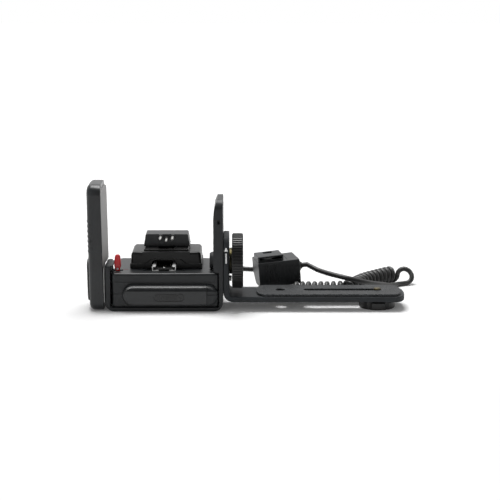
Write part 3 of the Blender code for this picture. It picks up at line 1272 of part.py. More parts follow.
COLLAR_DIAMETER = 22.4 * MM
COLLAR_THICKNESS = 1.9 * MM
KNOB_RIBS = 60
KNOB_RIB_DEPTH = 0.7 * MM
KNOB_EDGE = 0.9 * MM
KNOB_HUB = 15.0 * MM
KNOB_CAP_DIAMETER = 30.0 * MM
KNOB_CAP_THICKNESS = 0.7 * MM
KNOB_CAP_RECESS = 1.0 * MM
CLAMP_TURNS = 3.0
CLAMP_LEAD = 1.5 * MM
SCREW_SOCKET = 4.0 * MM
PIN_PROUD = 2.0 * MM

COLLAR_LEFT = LEG_OUTER + GAP
COLLAR_RIGHT = COLLAR_LEFT + COLLAR_THICKNESS
KNOB_LEFT = COLLAR_RIGHT + GAP
KNOB_RIGHT = KNOB_LEFT + CLAMP_KNOB_WIDTH
NUT_LEFT = POST_INNER - BOSS_PROUD + GAP


def ribbed_circle(u, v, radius, depth, ribs):
    """The outline of a knob's rim: flat-topped ribs with flat grooves between them."""
    points = []
    rib_shares = ((0.0, 1), (0.45, 1), (0.55, 0), (0.90, 0))
    for index in range(ribs):
        for share, raised in rib_shares:
            angle = math.tau * (index + share) / ribs
            reach = radius if raised else radius - depth
            points.append(Vector((u + reach * math.cos(angle), v + reach * math.sin(angle))))
    return points


def make_clamp(materials, travel, turn):
    ring = [(CLAMP_SCREW_DIAMETER / 2 + GAP, COLLAR_LEFT), (COLLAR_DIAMETER / 2, COLLAR_LEFT)]
    ring += [(COLLAR_DIAMETER / 2, COLLAR_RIGHT), (CLAMP_SCREW_DIAMETER / 2 + GAP, COLLAR_RIGHT)]
    collar = turned(ring, "X", ARM_MIDDLE, CLAMP_HEIGHT, 32, hollow=True)
    make("clamp_collar", collar, materials["brass"], travel)

    nut_right = NUT_LEFT + NUT_LENGTH
    inner = CLAMP_SCREW_DIAMETER / 2 + GAP
    hexagon = circle(ARM_MIDDLE, CLAMP_HEIGHT, NUT_DIAMETER / 2, 6)
    nut = make("clamp_nut", prism(hexagon, "YZ", NUT_LEFT, nut_right), materials["brass"])
    cut(nut, rod("X", ARM_MIDDLE, CLAMP_HEIGHT, inner, NUT_LEFT - OVERRUN, nut_right + OVERRUN))

    rim = ribbed_circle(ARM_MIDDLE, CLAMP_HEIGHT, CLAMP_KNOB_DIAMETER / 2, KNOB_RIB_DEPTH, KNOB_RIBS)
    disc = prism(rim, "YZ", KNOB_LEFT - OVERRUN, KNOB_RIGHT + OVERRUN)
    knob = make("clamp_knob", disc, materials["case"], turn, RIM_ANGLE)
    radius = CLAMP_KNOB_DIAMETER / 2
    socket = KNOB_LEFT + SCREW_SOCKET
    recess = KNOB_CAP_DIAMETER / 2 + GAP
    ends = [(0, socket + GAP), (inner, socket + GAP), (inner, KNOB_LEFT), (radius - KNOB_EDGE, KNOB_LEFT)]
    ends += [(radius + KNOB_EDGE, KNOB_LEFT + 2 * KNOB_EDGE), (radius + KNOB_EDGE, KNOB_RIGHT - 2 * KNOB_EDGE)]
    ends += [(radius - KNOB_EDGE, KNOB_RIGHT), (recess, KNOB_RIGHT), (recess, KNOB_RIGHT - KNOB_CAP_RECESS)]
    ends.append((0, KNOB_RIGHT - KNOB_CAP_RECESS))
    keep(knob, turned(ends, "X", ARM_MIDDLE, CLAMP_HEIGHT, 40))

    cap_left = KNOB_RIGHT - KNOB_CAP_RECESS + GAP
    cap_right = cap_left + KNOB_CAP_THICKNESS
    cap = [(0, cap_left), (KNOB_CAP_DIAMETER / 2, cap_left), (KNOB_CAP_DIAMETER / 2, cap_right - SOFT_EDGE)]
    cap += [(KNOB_CAP_DIAMETER / 2 - SOFT_EDGE, cap_right), (0, cap_right)]
    make("knob_cap", turned(cap, "X", ARM_MIDDLE, CLAMP_HEIGHT, 32), materials["case"], turn)

    screw = CLAMP_SCREW_DIAMETER / 2
    shaft = [(0, NUT_LEFT), (screw - SOFT_EDGE, NUT_LEFT), (screw, NUT_LEFT + SOFT_EDGE), (screw, socket), (0, socket)]
    make("clamp_screw", turned(shaft, "X", ARM_MIDDLE, CLAMP_HEIGHT, 24), materials["steel"], turn)

    pin = PIN_DIAMETER / 2
    end = LEG_OUTER + PIN_PROUD
    pin_shape = [(0, WALL_INNER_RIGHT), (pin, WALL_INNER_RIGHT), (pin, end - SOFT_EDGE), (pin - SOFT_EDGE, end), (0, end)]
    make("locating_pin", turned(pin_shape, "X", ARM_MIDDLE, PIN_HEIGHT, 20), materials["case"])


# Camera screw: it slides along the slot on a washer, and its lobed knob is also the arm's foot

SLIDER_DIAMETER = 17.0 * MM
SLIDER_THICKNESS = 0.8 * MM
SCREW_PROUD = 1.6 * MM
SCREW_EDGE = 0.7 * MM
KNOB_LOBES = 6
LOBE_NOTCH = 2.8 * MM
LOBE_NOTCH_DEPTH = 1.3 * MM
CORE_DIAMETER = 27.4 * MM
CORE_WALL = 1.8 * MM
CORE_HEIGHT = 3.6 * MM

SLIDER_HIGH = ARM_UNDERSIDE - GAP
SLIDER_LOW = SLIDER_HIGH - SLIDER_THICKNESS
SCREW_KNOB_HIGH = SLIDER_LOW - GAP


def make_camera_screw(materials, slide, turn):
    bore = TRIPOD_THREAD / 2 + GAP
    ring = [(bore, SLIDER_LOW), (SLIDER_DIAMETER / 2, SLIDER_LOW), (SLIDER_DIAMETER / 2, SLIDER_HIGH)]
    ring.append((bore, SLIDER_HIGH))
    washer = turned(ring, "Z", SCREW_REST_X, ARM_MIDDLE, 24, hollow=True)
    make("screw_slider", washer, materials["steel"], slide)

    radius = SCREW_KNOB_DIAMETER / 2
    round_plan = circle(SCREW_REST_X, ARM_MIDDLE, radius, 48)
    body = prism(round_plan, "XY", 0, SCREW_KNOB_HIGH)
    soften(body, SCREW_EDGE, 1, None, RIM_ANGLE)
    knob = make("camera_screw_knob", body, materials["case"], turn)
    for index in range(KNOB_LOBES):
        angle = math.tau * (index + 0.5) / KNOB_LOBES - math.pi / 2
        reach = radius - LOBE_NOTCH_DEPTH + LOBE_NOTCH
        x = SCREW_REST_X + reach * math.cos(angle)
        y = ARM_MIDDLE + reach * math.sin(angle)
        cut(knob, rod("Z", x, y, LOBE_NOTCH, -OVERRUN, SCREW_KNOB_HIGH + OVERRUN, 12))
    cavity_low = SCREW_KNOB_HIGH - CORE_HEIGHT - GAP
    cavity = rod("Z", SCREW_REST_X, ARM_MIDDLE, CORE_DIAMETER / 2 + GAP, cavity_low, SCREW_KNOB_HIGH + OVERRUN, 32)
    cut(knob, cavity)

    outer = CORE_DIAMETER / 2
    core_low = SCREW_KNOB_HIGH - CORE_HEIGHT
    core = [(bore, core_low), (outer, core_low), (outer, SCREW_KNOB_HIGH), (bore, SCREW_KNOB_HIGH)]
    core_solid = turned(core, "Z", SCREW_REST_X, ARM_MIDDLE, 32, hollow=True)
    make("screw_knob_core", core_solid, materials["brass"], turn)

    thread = TRIPOD_THREAD / 2
    low = core_low
    high = PAD_TOP + SCREW_PROUD
    shaft = [(0, low), (thread, low), (thread, high - SCREW_EDGE), (thread - SCREW_EDGE, high), (0, high)]
    make("camera_screw", turned(shaft, "Z", SCREW_REST_X, ARM_MIDDLE, 24), materials["brass"], turn)


# Gland at the back of the case, where the lead comes out

GLAND_FLANGE = 10.0 * MM
GLAND_FLANGE_THICKNESS = 1.6 * MM
GLAND_LENGTH = 13.0 * MM
GLAND_MOUTH = 6.0 * MM
GLAND_RINGS = 3
GLAND_GROOVE = 0.6 * MM

GLAND_END = CASE_BACK + GLAND_LENGTH


def make_gland(materials):
    seat = CASE_BACK + GAP
    start = seat + GLAND_FLANGE_THICKNESS
    profile = [(0, CASE_BACK - GLAND_SHANK + GAP), (GLAND_SHANK / 2, CASE_BACK - GLAND_SHANK + GAP)]
    profile += [(GLAND_SHANK / 2, seat), (GLAND_FLANGE / 2, seat), (GLAND_FLANGE / 2, start)]
    step = (GLAND_END - start) / (2 * GLAND_RINGS + 1)
    wide = (GLAND_FLANGE - GLAND_FLANGE_THICKNESS) / 2
    for index in range(2 * GLAND_RINGS + 1):
        share = index / (2 * GLAND_RINGS)
        radius = wide + (GLAND_MOUTH / 2 - wide) * share
        groove = GLAND_GROOVE * (index % 2)
        profile.append((radius - groove, start + index * step))
        profile.append((radius - groove, start + (index + 1) * step - GAP / 2))
    profile.append((0, GLAND_END))
    profile[-2] = (profile[-2][0], GLAND_END)
    make("cord_gland", turned(profile, "Y", GLAND_X, GLAND_HEIGHT, 20), materials["rubber"])


# Lead: straight run from the gland, curly cord on the table, and the tail up to the adapter

LEAD_POINTS_MM = [
    (39.5, 66.6, 19.0), (47.0, 70.2, 18.0), (58.0, 71.0, 17.0), (70.0, 70.8, 16.2), (82.0, 72.0, 15.2),
    (93.0, 74.8, 12.0), (102.0, 75.4, 7.0), (108.6, 70.6, 3.2), (111.6, 61.0, 2.3), (112.6, 50.0, 2.3),
    (112.2, 40.0, 2.3),
]
AXIS_POINTS_MM = [
    (109.8, 25.0), (122.0, 25.2), (135.0, 25.6), (148.0, 26.4), (157.0, 29.6), (163.4, 38.0), (168.0, 48.0),
    (174.0, 58.4), (182.4, 68.6), (190.8, 77.0), (198.8, 84.6), (205.8, 89.2), (211.6, 87.0), (214.2, 81.0),
    (214.4, 74.6),
]
TAIL_POINTS_MM = [
    (203.4, 65.4, 2.5), (197.2, 57.6, 4.4), (190.0, 47.8, 7.4), (181.6, 37.4, 10.6), (170.6, 28.8, 14.4),
    (157.0, 26.2, 18.2), (142.4, 35.8, 19.8), (131.8, 47.0, 21.0),
]
TUBE_STEP = 1.4
CURL_SAMPLES = 400
LAST_CURL_STRETCH = 3.0
CORD_SIDES = 2


def smooth_route(points, before=None, after=None, samples=24):
    """Points of a smooth curve through the given ones, many between each two."""
    first = before or points[0] * 2 - points[1]
    last = after or points[-1] * 2 - points[-2]
    spots = [first, *points, last]
    route = []
    for index in range(1, len(spots) - 2):
        a, b, c, d = spots[index - 1:index + 3]
        for step in range(samples):
            t = step / samples
            straight = b * 2 + (c - a) * t
            bend = (a * 2 - b * 5 + c * 4 - d) * t * t + (b * 3 - a - c * 3 + d) * t ** 3
            route.append((straight + bend) / 2)
    route.append(points[-1])
    return route


def spaced(route, step):
    """The same route with a point at each even step of its length."""
    lengths = [0.0]
    for before, after in zip(route, route[1:]):
        lengths.append(lengths[-1] + (after - before).length)
    count = max(2, round(lengths[-1] / step))
    spots = []
    index = 0
    for number in range(count + 1):
        target = lengths[-1] * number / count
        while index < len(lengths) - 2 and lengths[index + 1] < target:
            index += 1
        share = (target - lengths[index]) / (lengths[index + 1] - lengths[index])
        spots.append(route[index].lerp(route[index + 1], share))
    return spots, lengths[-1]


def run_of_cord(name, start, start_way, middle, finish, finish_way, material):
    """A free stretch of the lead. Both ends run straight for one diameter, square to what they meet."""
    inner_start = start + start_way * CORD_DIAMETER
    inner_finish = finish + finish_way * CORD_DIAMETER
    points = [inner_start, *(Vector(point) * MM for point in middle), inner_finish]
    route, length = spaced(smooth_route(points, start, finish), TUBE_STEP * CORD_DIAMETER)
    print(name, "length, mm:", round((length + 2 * CORD_DIAMETER) / MM, 1))
    return tube(name, [start, *route, finish], CORD_DIAMETER, material, CORD_SIDES)


def tube(name, points, diameter, material, resolution):
    curve = bpy.data.curves.new(name, "CURVE")
    curve.dimensions = "3D"
    curve.bevel_depth = diameter / 2
    curve.bevel_resolution = resolution
    curve.use_fill_caps = True
    spline = curve.splines.new("POLY")
    spline.points.add(len(points) - 1)
    for spot, point in zip(spline.points, points):
        spot.co = (*point, 1.0)
    curve.materials.append(material)
    obj = bpy.data.objects.new(name, curve)
    bpy.context.scene.collection.objects.link(obj)
    return obj


def curl_points():
    """The centre line of the curly cord: a helix about a level axis that bends along the table.

    Its turns lie evenly on the inner side of a bend and fan out on the outer side. It starts and ends on the table,
    and its last half turn is drawn out.
    """
    level = CURL_DIAMETER / 2
    radius = (CURL_DIAMETER - CORD_DIAMETER) / 2
    marks = [Vector((x * MM, y * MM, level)) for x, y in AXIS_POINTS_MM]
    axis, length = spaced(smooth_route(marks), (CURL_PITCH / CURL_SAMPLES) * CURL_POINTS)
    step = length / (len(axis) - 1)
    turns = [0.0]
    for index in range(1, len(axis)):
        before = axis[index] - axis[max(0, index - CURL_POINTS)]
        after = axis[min(len(axis) - 1, index + CURL_POINTS)] - axis[index]
        bend = before.angle(after, 0.0) / (CURL_POINTS * step)
        turns.append(turns[-1] + step / CURL_PITCH * (1 - radius * bend))
    spare = turns[-1] - LAST_CURL_STRETCH / 2
    whole = math.floor(spare + 0.5)
    scale = (whole - 0.5) / spare
    count = whole * CURL_POINTS
    points = []
    index = 0
    for number in range(count + 1):
        turn = number / CURL_POINTS
        drawn = max(0.0, turn - whole + 0.5) * LAST_CURL_STRETCH
        wanted = min(turn, whole - 0.5) / scale + drawn
        while index < len(turns) - 2 and turns[index + 1] < wanted:
            index += 1
        share = min(1.0, (wanted - turns[index]) / (turns[index + 1] - turns[index]))
        centre = axis[index].lerp(axis[index + 1], share)
        forward = (axis[index + 1] - axis[index]).normalized()
        side = Vector((-forward.y, forward.x, 0))
        angle = math.pi + math.tau * turn
        points.append(centre + radius * (math.cos(angle) * Vector((0, 0, 1)) + math.sin(angle) * side))
    return points


def least_gap(points, diameter):
    """The least distance between turns of a tube, measured between points that lie over half a curl apart."""
    apart = CURL_POINTS // 2
    least = min(
        (first - second).length
        for index, first in enumerate(points)
        for second in points[index + apart:index + 3 * CURL_POINTS]
    )
    return least - diameter


def make_lead(materials):
    curls = curl_points()
    entry = (curls[1] - curls[0]).normalized()
    entry.z = 0
    entry.normalize()
    leaving = (curls[-1] - curls[-2]).normalized()
    leaving.z = 0
    leaving.normalize()
    start = curls[0] - entry * CORD_DIAMETER
    finish = curls[-1] + leaving * CORD_DIAMETER
    whole = [start, *curls, finish]
    print("least gap between curls, mm:", round(least_gap(curls, CORD_DIAMETER) / MM, 3))
    tube("cord_curls", whole, CORD_DIAMETER, materials["cord"], 1)

    gland = Vector((GLAND_X, GLAND_END + GAP, GLAND_HEIGHT))
    run_of_cord("cord_lead", gland, Vector((0, 1, 0)), LEAD_POINTS_MM, start - entry * GAP, -entry, materials["cord"])
    frame = adapter_matrix()
    mouth = frame @ Vector((RELIEF_END + GAP, RELIEF_Y, RELIEF_HEIGHT))
    outward = (frame.to_3x3() @ Vector((1, 0, 0))).normalized()
    run_of_cord("cord_tail", finish + leaving * GAP, leaving, TAIL_POINTS_MM, mouth, outward, materials["cord"])


# Adapter block: a moulded body with a hot shoe on top and a locking foot below, drawn in its own frame

FOOT_WIDTH = 18.5 * MM
FOOT_THICKNESS = 2.0 * MM
FOOT_NECK = 12.0 * MM
FOOT_NECK_TOP = 4.8 * MM
RING_RADIUS = 11.5 * MM
RING_LOW = 5.1 * MM
RING_HIGH = 8.8 * MM
RING_RIBS = 30
RING_RIB_DEPTH = 0.6 * MM
SPINDLE = 7.0 * MM
BODY_LOW = 9.1 * MM
BODY_TAPER_HEIGHT = 9.5 * MM
BODY_TAPER = 10.5 * MM
BODY_EDGE = 0.9 * MM
BODY_RIBS = 6
BODY_RIB_START = 5.8 * MM
BODY_RIB_PITCH = 2.05 * MM
BODY_RIB_WIDTH = 1.15 * MM
BODY_RIB_PROUD = 0.4 * MM
BODY_RIB_LOW = 12.0 * MM
BODY_RIB_HIGH = 29.6 * MM
SEAT_LEFT = -18.3 * MM
SEAT_RIGHT = 4.6 * MM
SEAT_FRONT = -13.6 * MM
SEAT_BACK = 6.6 * MM
SEAT_HEIGHT = 5.2 * MM
SEAT_WALL = 1.5 * MM
SEAT_ROOF = 1.2 * MM
SEAT_MOUTH = 8.0 * MM
SEAT_MOUTH_DEPTH = 6.0 * MM
SEAT_FLOOR = 0.6 * MM
SEAT_SHEET = 0.6 * MM
HOT_CONTACT = 3.4 * MM
LID_LINE_X = 7.6 * MM
LID_LINE_WIDTH = 0.7 * MM
LID_LINE_DEPTH = 0.4 * MM
RELIEF_DIAMETER = 10.6 * MM
RELIEF_LENGTH = 3.2 * MM
RELIEF_Y = 2.0 * MM
RELIEF_HEIGHT = 21.4 * MM
RELIEF_SHANK = 6.4 * MM
RELIEF_MOUTH = 6.6 * MM

HALF_LENGTH = ADAPTER_LENGTH / 2
HALF_WIDTH = ADAPTER_WIDTH / 2
RELIEF_END = HALF_LENGTH + GAP + 1.5 * RELIEF_LENGTH


def adapter_matrix():
    """The block is turned on the table and leans on the left edge of its foot."""
    turn = Matrix.Rotation(ADAPTER_YAW, 4, "Z") @ Matrix.Rotation(-ADAPTER_TILT, 4, "Y")
    lift = FOOT_WIDTH / 2 * math.sin(ADAPTER_TILT)
    return Matrix.Translation((ADAPTER_X, ADAPTER_Y, lift)) @ turn


def make_adapter(materials, frame, ring_turn):
    side = [
        (-HALF_WIDTH, BODY_LOW, BODY_EDGE),
        (HALF_WIDTH - BODY_TAPER, BODY_LOW, BODY_EDGE),
        (HALF_WIDTH, BODY_LOW + BODY_TAPER_HEIGHT, BODY_TAPER_HEIGHT / 2),
        (HALF_WIDTH, ADAPTER_TOP, BODY_EDGE),
        (-HALF_WIDTH, ADAPTER_TOP, BODY_EDGE),
    ]
    block = prism(outline(side), "YZ", -HALF_LENGTH, HALF_LENGTH)
    soften(block, BODY_EDGE, 2, lambda at, along: near(abs(at.x), HALF_LENGTH))
    body = make("adapter_body", block, materials["case"], frame)
    for index in range(BODY_RIBS):
        left = -HALF_LENGTH + BODY_RIB_START + BODY_RIB_PITCH * index
        rib = box_outline(left, left + BODY_RIB_WIDTH, -HALF_WIDTH - BODY_RIB_PROUD, -HALF_WIDTH + BODY_RIB_PROUD)
        join(body, prism(rib, "XY", BODY_RIB_LOW, BODY_RIB_HIGH))
    cut(body, rod("Z", 0, 0, SPINDLE / 2 + GAP, BODY_LOW - OVERRUN, BODY_LOW + SPINDLE / 2, 20))
    line = box_outline(LID_LINE_X, LID_LINE_X + LID_LINE_WIDTH, SEAT_FRONT + SEAT_WALL, SEAT_BACK)
    cut(body, prism(line, "XY", ADAPTER_TOP - LID_LINE_DEPTH, ADAPTER_TOP + OVERRUN))
    socket = rod("X", RELIEF_Y, RELIEF_HEIGHT, RELIEF_SHANK / 2 + GAP, HALF_LENGTH - RELIEF_LENGTH,
                 HALF_LENGTH + OVERRUN, 20)
    cut(body, socket)

    floor = ADAPTER_TOP + GAP
    plan = box_outline(SEAT_LEFT, SEAT_RIGHT, SEAT_FRONT, SEAT_BACK)
    seat_block = prism(plan, "XY", floor, floor + SEAT_HEIGHT)
    soften(seat_block, BODY_EDGE, 2, lambda at, along: at.z > floor + BODY_EDGE)
    seat = make("adapter_shoe_block", seat_block, materials["case"], frame)
    roof = floor + SEAT_HEIGHT - SEAT_ROOF
    tunnel = box_outline(SEAT_LEFT + SEAT_WALL, SEAT_RIGHT - SEAT_WALL, floor + SEAT_FLOOR, roof)
    cut(seat, prism(tunnel, "XZ", SEAT_FRONT - OVERRUN, SEAT_BACK - SEAT_WALL))
    middle = (SEAT_LEFT + SEAT_RIGHT) / 2
    mouth_back = SEAT_BACK - 2 * SEAT_WALL
    mouth = box_outline(middle - SEAT_MOUTH / 2, middle + SEAT_MOUTH / 2, mouth_back - SEAT_MOUTH_DEPTH, mouth_back,
                        SEAT_WALL)
    cut(seat, prism(mouth, "XY", roof - SEAT_SHEET, floor + SEAT_HEIGHT + OVERRUN))

    sheet_low = floor + SEAT_FLOOR + GAP
    sheet = box_outline(SEAT_LEFT + SEAT_WALL + GAP, SEAT_RIGHT - SEAT_WALL - GAP, SEAT_FRONT + SEAT_SHEET,
                        SEAT_BACK - SEAT_WALL - GAP)
    plate = make("adapter_shoe_plate", prism(sheet, "XY", sheet_low, sheet_low + SEAT_SHEET), materials["case"],
                 frame)
    contact_y = (SEAT_FRONT + SEAT_BACK) / 2
    cut(plate, rod("Z", middle, contact_y, HOT_CONTACT / 2 + GAP, sheet_low - SEAT_SHEET, sheet_low + OVERRUN, 16))
    radius = HOT_CONTACT / 2
    button = [(0, sheet_low), (radius, sheet_low), (radius, sheet_low + SEAT_SHEET)]
    button += [(radius / 2, sheet_low + 2 * SEAT_SHEET), (0, sheet_low + 2 * SEAT_SHEET)]
    make("adapter_hot_contact", turned(button, "Z", middle, contact_y, 16), materials["brass"], frame)

    wheel = prism(ribbed_circle(0, 0, RING_RADIUS, RING_RIB_DEPTH, RING_RIBS), "XY", RING_LOW, RING_HIGH)
    ring = make("adapter_lock_ring", wheel, materials["case"], ring_turn)
    cut(ring, rod("Z", 0, 0, SPINDLE / 2 + GAP, RING_LOW - OVERRUN, RING_HIGH + OVERRUN, 20))

    half = FOOT_WIDTH / 2
    neck = FOOT_NECK / 2
    section = [(-half, 0), (half, 0), (half, FOOT_THICKNESS), (neck, FOOT_THICKNESS), (neck, FOOT_NECK_TOP)]
    section += [(-neck, FOOT_NECK_TOP), (-neck, FOOT_THICKNESS), (-half, FOOT_THICKNESS)]
    foot = make("adapter_foot", prism(outline(section), "XZ", -half, half), materials["steel"], frame)
    spindle_top = BODY_LOW + SPINDLE / 2 - GAP
    join(foot, rod("Z", 0, 0, SPINDLE / 2, FOOT_NECK_TOP - SEAT_SHEET, spindle_top, 20))

    start = HALF_LENGTH + GAP
    relief = [(0, HALF_LENGTH - RELIEF_LENGTH + GAP), (RELIEF_SHANK / 2, HALF_LENGTH - RELIEF_LENGTH + GAP)]
    relief += [(RELIEF_SHANK / 2, start), (RELIEF_DIAMETER / 2, start)]
    relief += [(RELIEF_DIAMETER / 2, start + RELIEF_LENGTH - BODY_EDGE)]
    relief += [(RELIEF_DIAMETER / 2 - BODY_EDGE, start + RELIEF_LENGTH), (RELIEF_MOUTH / 2, start + RELIEF_LENGTH)]
    relief += [(RELIEF_MOUTH / 2 - GAP, RELIEF_END), (0, RELIEF_END)]
    make("adapter_strain_relief", turned(relief, "X", RELIEF_Y, RELIEF_HEIGHT, 20), materials["rubber"], frame)


def adapter_frames():
    """The block's own frame, and the lock ring's axis in it."""
    frame = pivot("adapter_frame", (0, 0, 0))
    frame.matrix_world = adapter_matrix()
    frame["own_frame"] = True
    ring_turn = pivot("adapter_ring_axis", (0, 0, 0))
    ring_turn.matrix_world = adapter_matrix()
    ring_turn["own_frame"] = True
    return frame, ring_turn


def clear_scene():
    for obj in list(bpy.data.objects):
        bpy.data.objects.remove(obj, do_unlink=True)


clear_scene()
shades = make_materials()
clamp_point = Vector((COLLAR_LEFT, ARM_MIDDLE, CLAMP_HEIGHT))
screw_point = Vector((SCREW_REST_X, ARM_MIDDLE, 0))
door_slide = pivot("battery_door_slide", Vector((DOOR_SEAM, FRONT, PARTING_HEIGHT)))
lever_hinge = pivot("lock_lever_axis", Vector((LEVER_X, LEVER_Y, LEVER_PIVOT_HEIGHT)))
bar_slide = pivot("lock_bar_slide", Vector((LEVER_X, LEVER_Y, LOCK_BAR_HIGH)))
pin_slide = pivot("shoe_lock_pin_slide", Vector((SHOE_OFFSET, LEVER_Y, SHOE_FLOOR)))
clamp_travel = pivot("clamp_travel", clamp_point)
clamp_turn = pivot("clamp_turn", clamp_point)
screw_slide = pivot("camera_screw_slide", screw_point)
screw_turn = pivot("camera_screw_turn", screw_point)
adapter_frame, adapter_ring_axis = adapter_frames()

make_cradle_frame(shades)
make_case_bottom(shades)
make_case_top(shades)
make_battery_door(shades, door_slide)
make_cells(shades)
make_contacts(shades, door_slide)
make_circuit_board(shades)
make_case_screws(shades)
make_shoe(shades)
make_terminal(shades)
make_lock(shades, lever_hinge, bar_slide, pin_slide)
make_grip(shades)
make_arm(shades)
make_clamp(shades, clamp_travel, clamp_turn)
make_camera_screw(shades, screw_slide, screw_turn)
make_gland(shades)
make_lead(shades)
make_adapter(shades, adapter_frame, adapter_ring_axis)
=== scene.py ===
"""Camera flash bracket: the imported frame, dressed with its cord, its finishes and its painted marks."""
import math

import bmesh
import bpy
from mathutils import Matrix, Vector


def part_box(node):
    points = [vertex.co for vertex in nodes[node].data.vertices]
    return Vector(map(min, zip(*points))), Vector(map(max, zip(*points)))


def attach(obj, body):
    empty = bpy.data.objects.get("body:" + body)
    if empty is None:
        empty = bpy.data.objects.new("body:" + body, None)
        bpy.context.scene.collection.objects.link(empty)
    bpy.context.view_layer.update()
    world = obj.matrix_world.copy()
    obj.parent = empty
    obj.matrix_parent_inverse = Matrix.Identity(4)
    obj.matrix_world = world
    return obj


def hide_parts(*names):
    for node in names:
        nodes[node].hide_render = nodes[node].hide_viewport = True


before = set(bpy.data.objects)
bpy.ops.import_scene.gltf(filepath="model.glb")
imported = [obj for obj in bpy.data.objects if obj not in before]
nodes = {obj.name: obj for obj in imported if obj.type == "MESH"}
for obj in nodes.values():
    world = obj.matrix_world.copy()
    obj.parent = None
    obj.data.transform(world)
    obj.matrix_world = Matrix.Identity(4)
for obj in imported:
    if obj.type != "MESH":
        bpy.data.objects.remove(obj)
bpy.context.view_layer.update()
MM = 0.001

# Camera. A long lens stands in front of the bracket, a little to the right of the cradle. It looks slightly down, so
# that the deck, the pad on the arm and the far curls of the lead are seen from above.

CAMERA_HEIGHT = 316.4 * MM
CAMERA_BACK = 1258.2 * MM
CAMERA_SIDE = 71.9 * MM
CAMERA_TILT = 12
LENS = 108
SENSOR = 36

lens = bpy.data.cameras.new("camera")
lens.lens = LENS
lens.sensor_width = SENSOR
camera = bpy.data.objects.new("camera", lens)
camera.location = (CAMERA_SIDE, -CAMERA_BACK, CAMERA_HEIGHT)
camera.rotation_euler = (math.radians(90 - CAMERA_TILT), 0, 0)
bpy.context.scene.collection.objects.link(camera)
bpy.context.scene.camera = camera
bpy.context.scene.view_settings.view_transform = "Standard"

# Studio. The bracket stands on white paper, which keeps its shadow and turns plain white away from it, in front of a
# white sweep. Gloss shows the room in front as dim. One broad lamp hangs overhead and a soft one stands front left.

KEY_PLACE = (-0.05, 0.36, 1.4)
KEY_SIDE = 0.9
KEY_POWER = 21.5
FILL_PLACE = (-1.0, -1.6, 0.9)
FILL_SIDE = 1.2
FILL_POWER = 4.0
LAMP_AIM = (0.05, 0.0, 0.04)
WORLD_LIGHT = 0.28
ROOM_IN_GLOSS = 0.2
SWEEP_EDGE = (-0.45, 0.25)
FLOOR_SIDE = 8.0
FLOOR_LIFT = 0.06
NEAR_FLOOR = 0.35
FAR_FLOOR = 1.1
PAPER_COLOUR = (0.9, 0.9, 0.9, 1)
PAPER_ROUGHNESS = 0.9
BLACK = (0, 0, 0)
WHITE = (1, 1, 1)

# A Mix node's sockets by number, because its number, vector and colour sockets share their names.
MIX_SHARE, MIX_FIRST, MIX_SECOND = 0, 6, 7
MIX_RESULT = 2


class Socket:
    """An output in a node tree, or the bare tree before its first node. Sums on it add Math nodes to the tree."""

    def __init__(self, tree, output=None):
        self.tree = tree
        self.output = output

    def node(self, kind, inputs=(), out=0, **settings):
        """Adds a node: its settings first, then the values or links of its sockets."""
        made = self.tree.nodes.new(kind)
        for key, value in settings.items():
            setattr(made, key, value)
        for key, value in dict(inputs).items():
            if isinstance(value, Socket):
                self.tree.links.new(value.output, made.inputs[key])
            else:
                made.inputs[key].default_value = value
        return Socket(self.tree, made.outputs[out])

    def math(self, operation, *values):
        return self.node("ShaderNodeMath", enumerate(values), operation=operation)

    def __add__(self, other):
        return self.math("ADD", self, other)

    __radd__ = __add__

    def __sub__(self, other):
        return self.math("SUBTRACT", self, other)

    def __rsub__(self, other):
        return self.math("SUBTRACT", other, self)

    def __mul__(self, other):
        return self.math("MULTIPLY", self, other)

    __rmul__ = __mul__

    def __gt__(self, other):
        return self.math("GREATER_THAN", self, other)

    def __lt__(self, other):
        return self.math("LESS_THAN", self, other)

    def fraction(self):
        """What is left after the whole number."""
        return self.math("FRACT", self)

    def axis(self, letter):
        return self.node("ShaderNodeSeparateXYZ", {0: self}, out=letter)

    def ramp(self, low, high):
        """0 below low, 1 above high."""
        return self.node("ShaderNodeMapRange", {"Value": self, "From Min": low, "From Max": high})

    def noise(self, size, detail=2.0, rough=0.5, squeeze=(1, 1, 1)):
        """Cloudy noise with lumps about size across, drawn out along an axis where squeeze is below 1."""
        scaled = self.node("ShaderNodeMapping", {"Vector": self, "Scale": squeeze})
        numbers = {"Vector": scaled, "Scale": 1 / size, "Detail": detail, "Roughness": rough}
        return scaled.node("ShaderNodeTexNoise", numbers)

    def cells(self, size, feature="F1"):
        """A pattern of round lumps about size across: the distance to a lump's middle, or to its edge."""
        return self.node("ShaderNodeTexVoronoi", {"Vector": self, "Scale": 1 / size}, feature=feature)

    def tint(self, first, second):
        """A colour between two others, by this share."""
        colours = {MIX_SHARE: self, MIX_FIRST: (*first, 1), MIX_SECOND: (*second, 1)}
        return self.node("ShaderNodeMix", colours, MIX_RESULT, data_type="RGBA")

    def over(self, below, colour):
        """Lays a colour over a socket's colour where this mask is 1."""
        colours = {MIX_SHARE: self, MIX_FIRST: below, MIX_SECOND: (*colour, 1)}
        return self.node("ShaderNodeMix", colours, MIX_RESULT, data_type="RGBA")


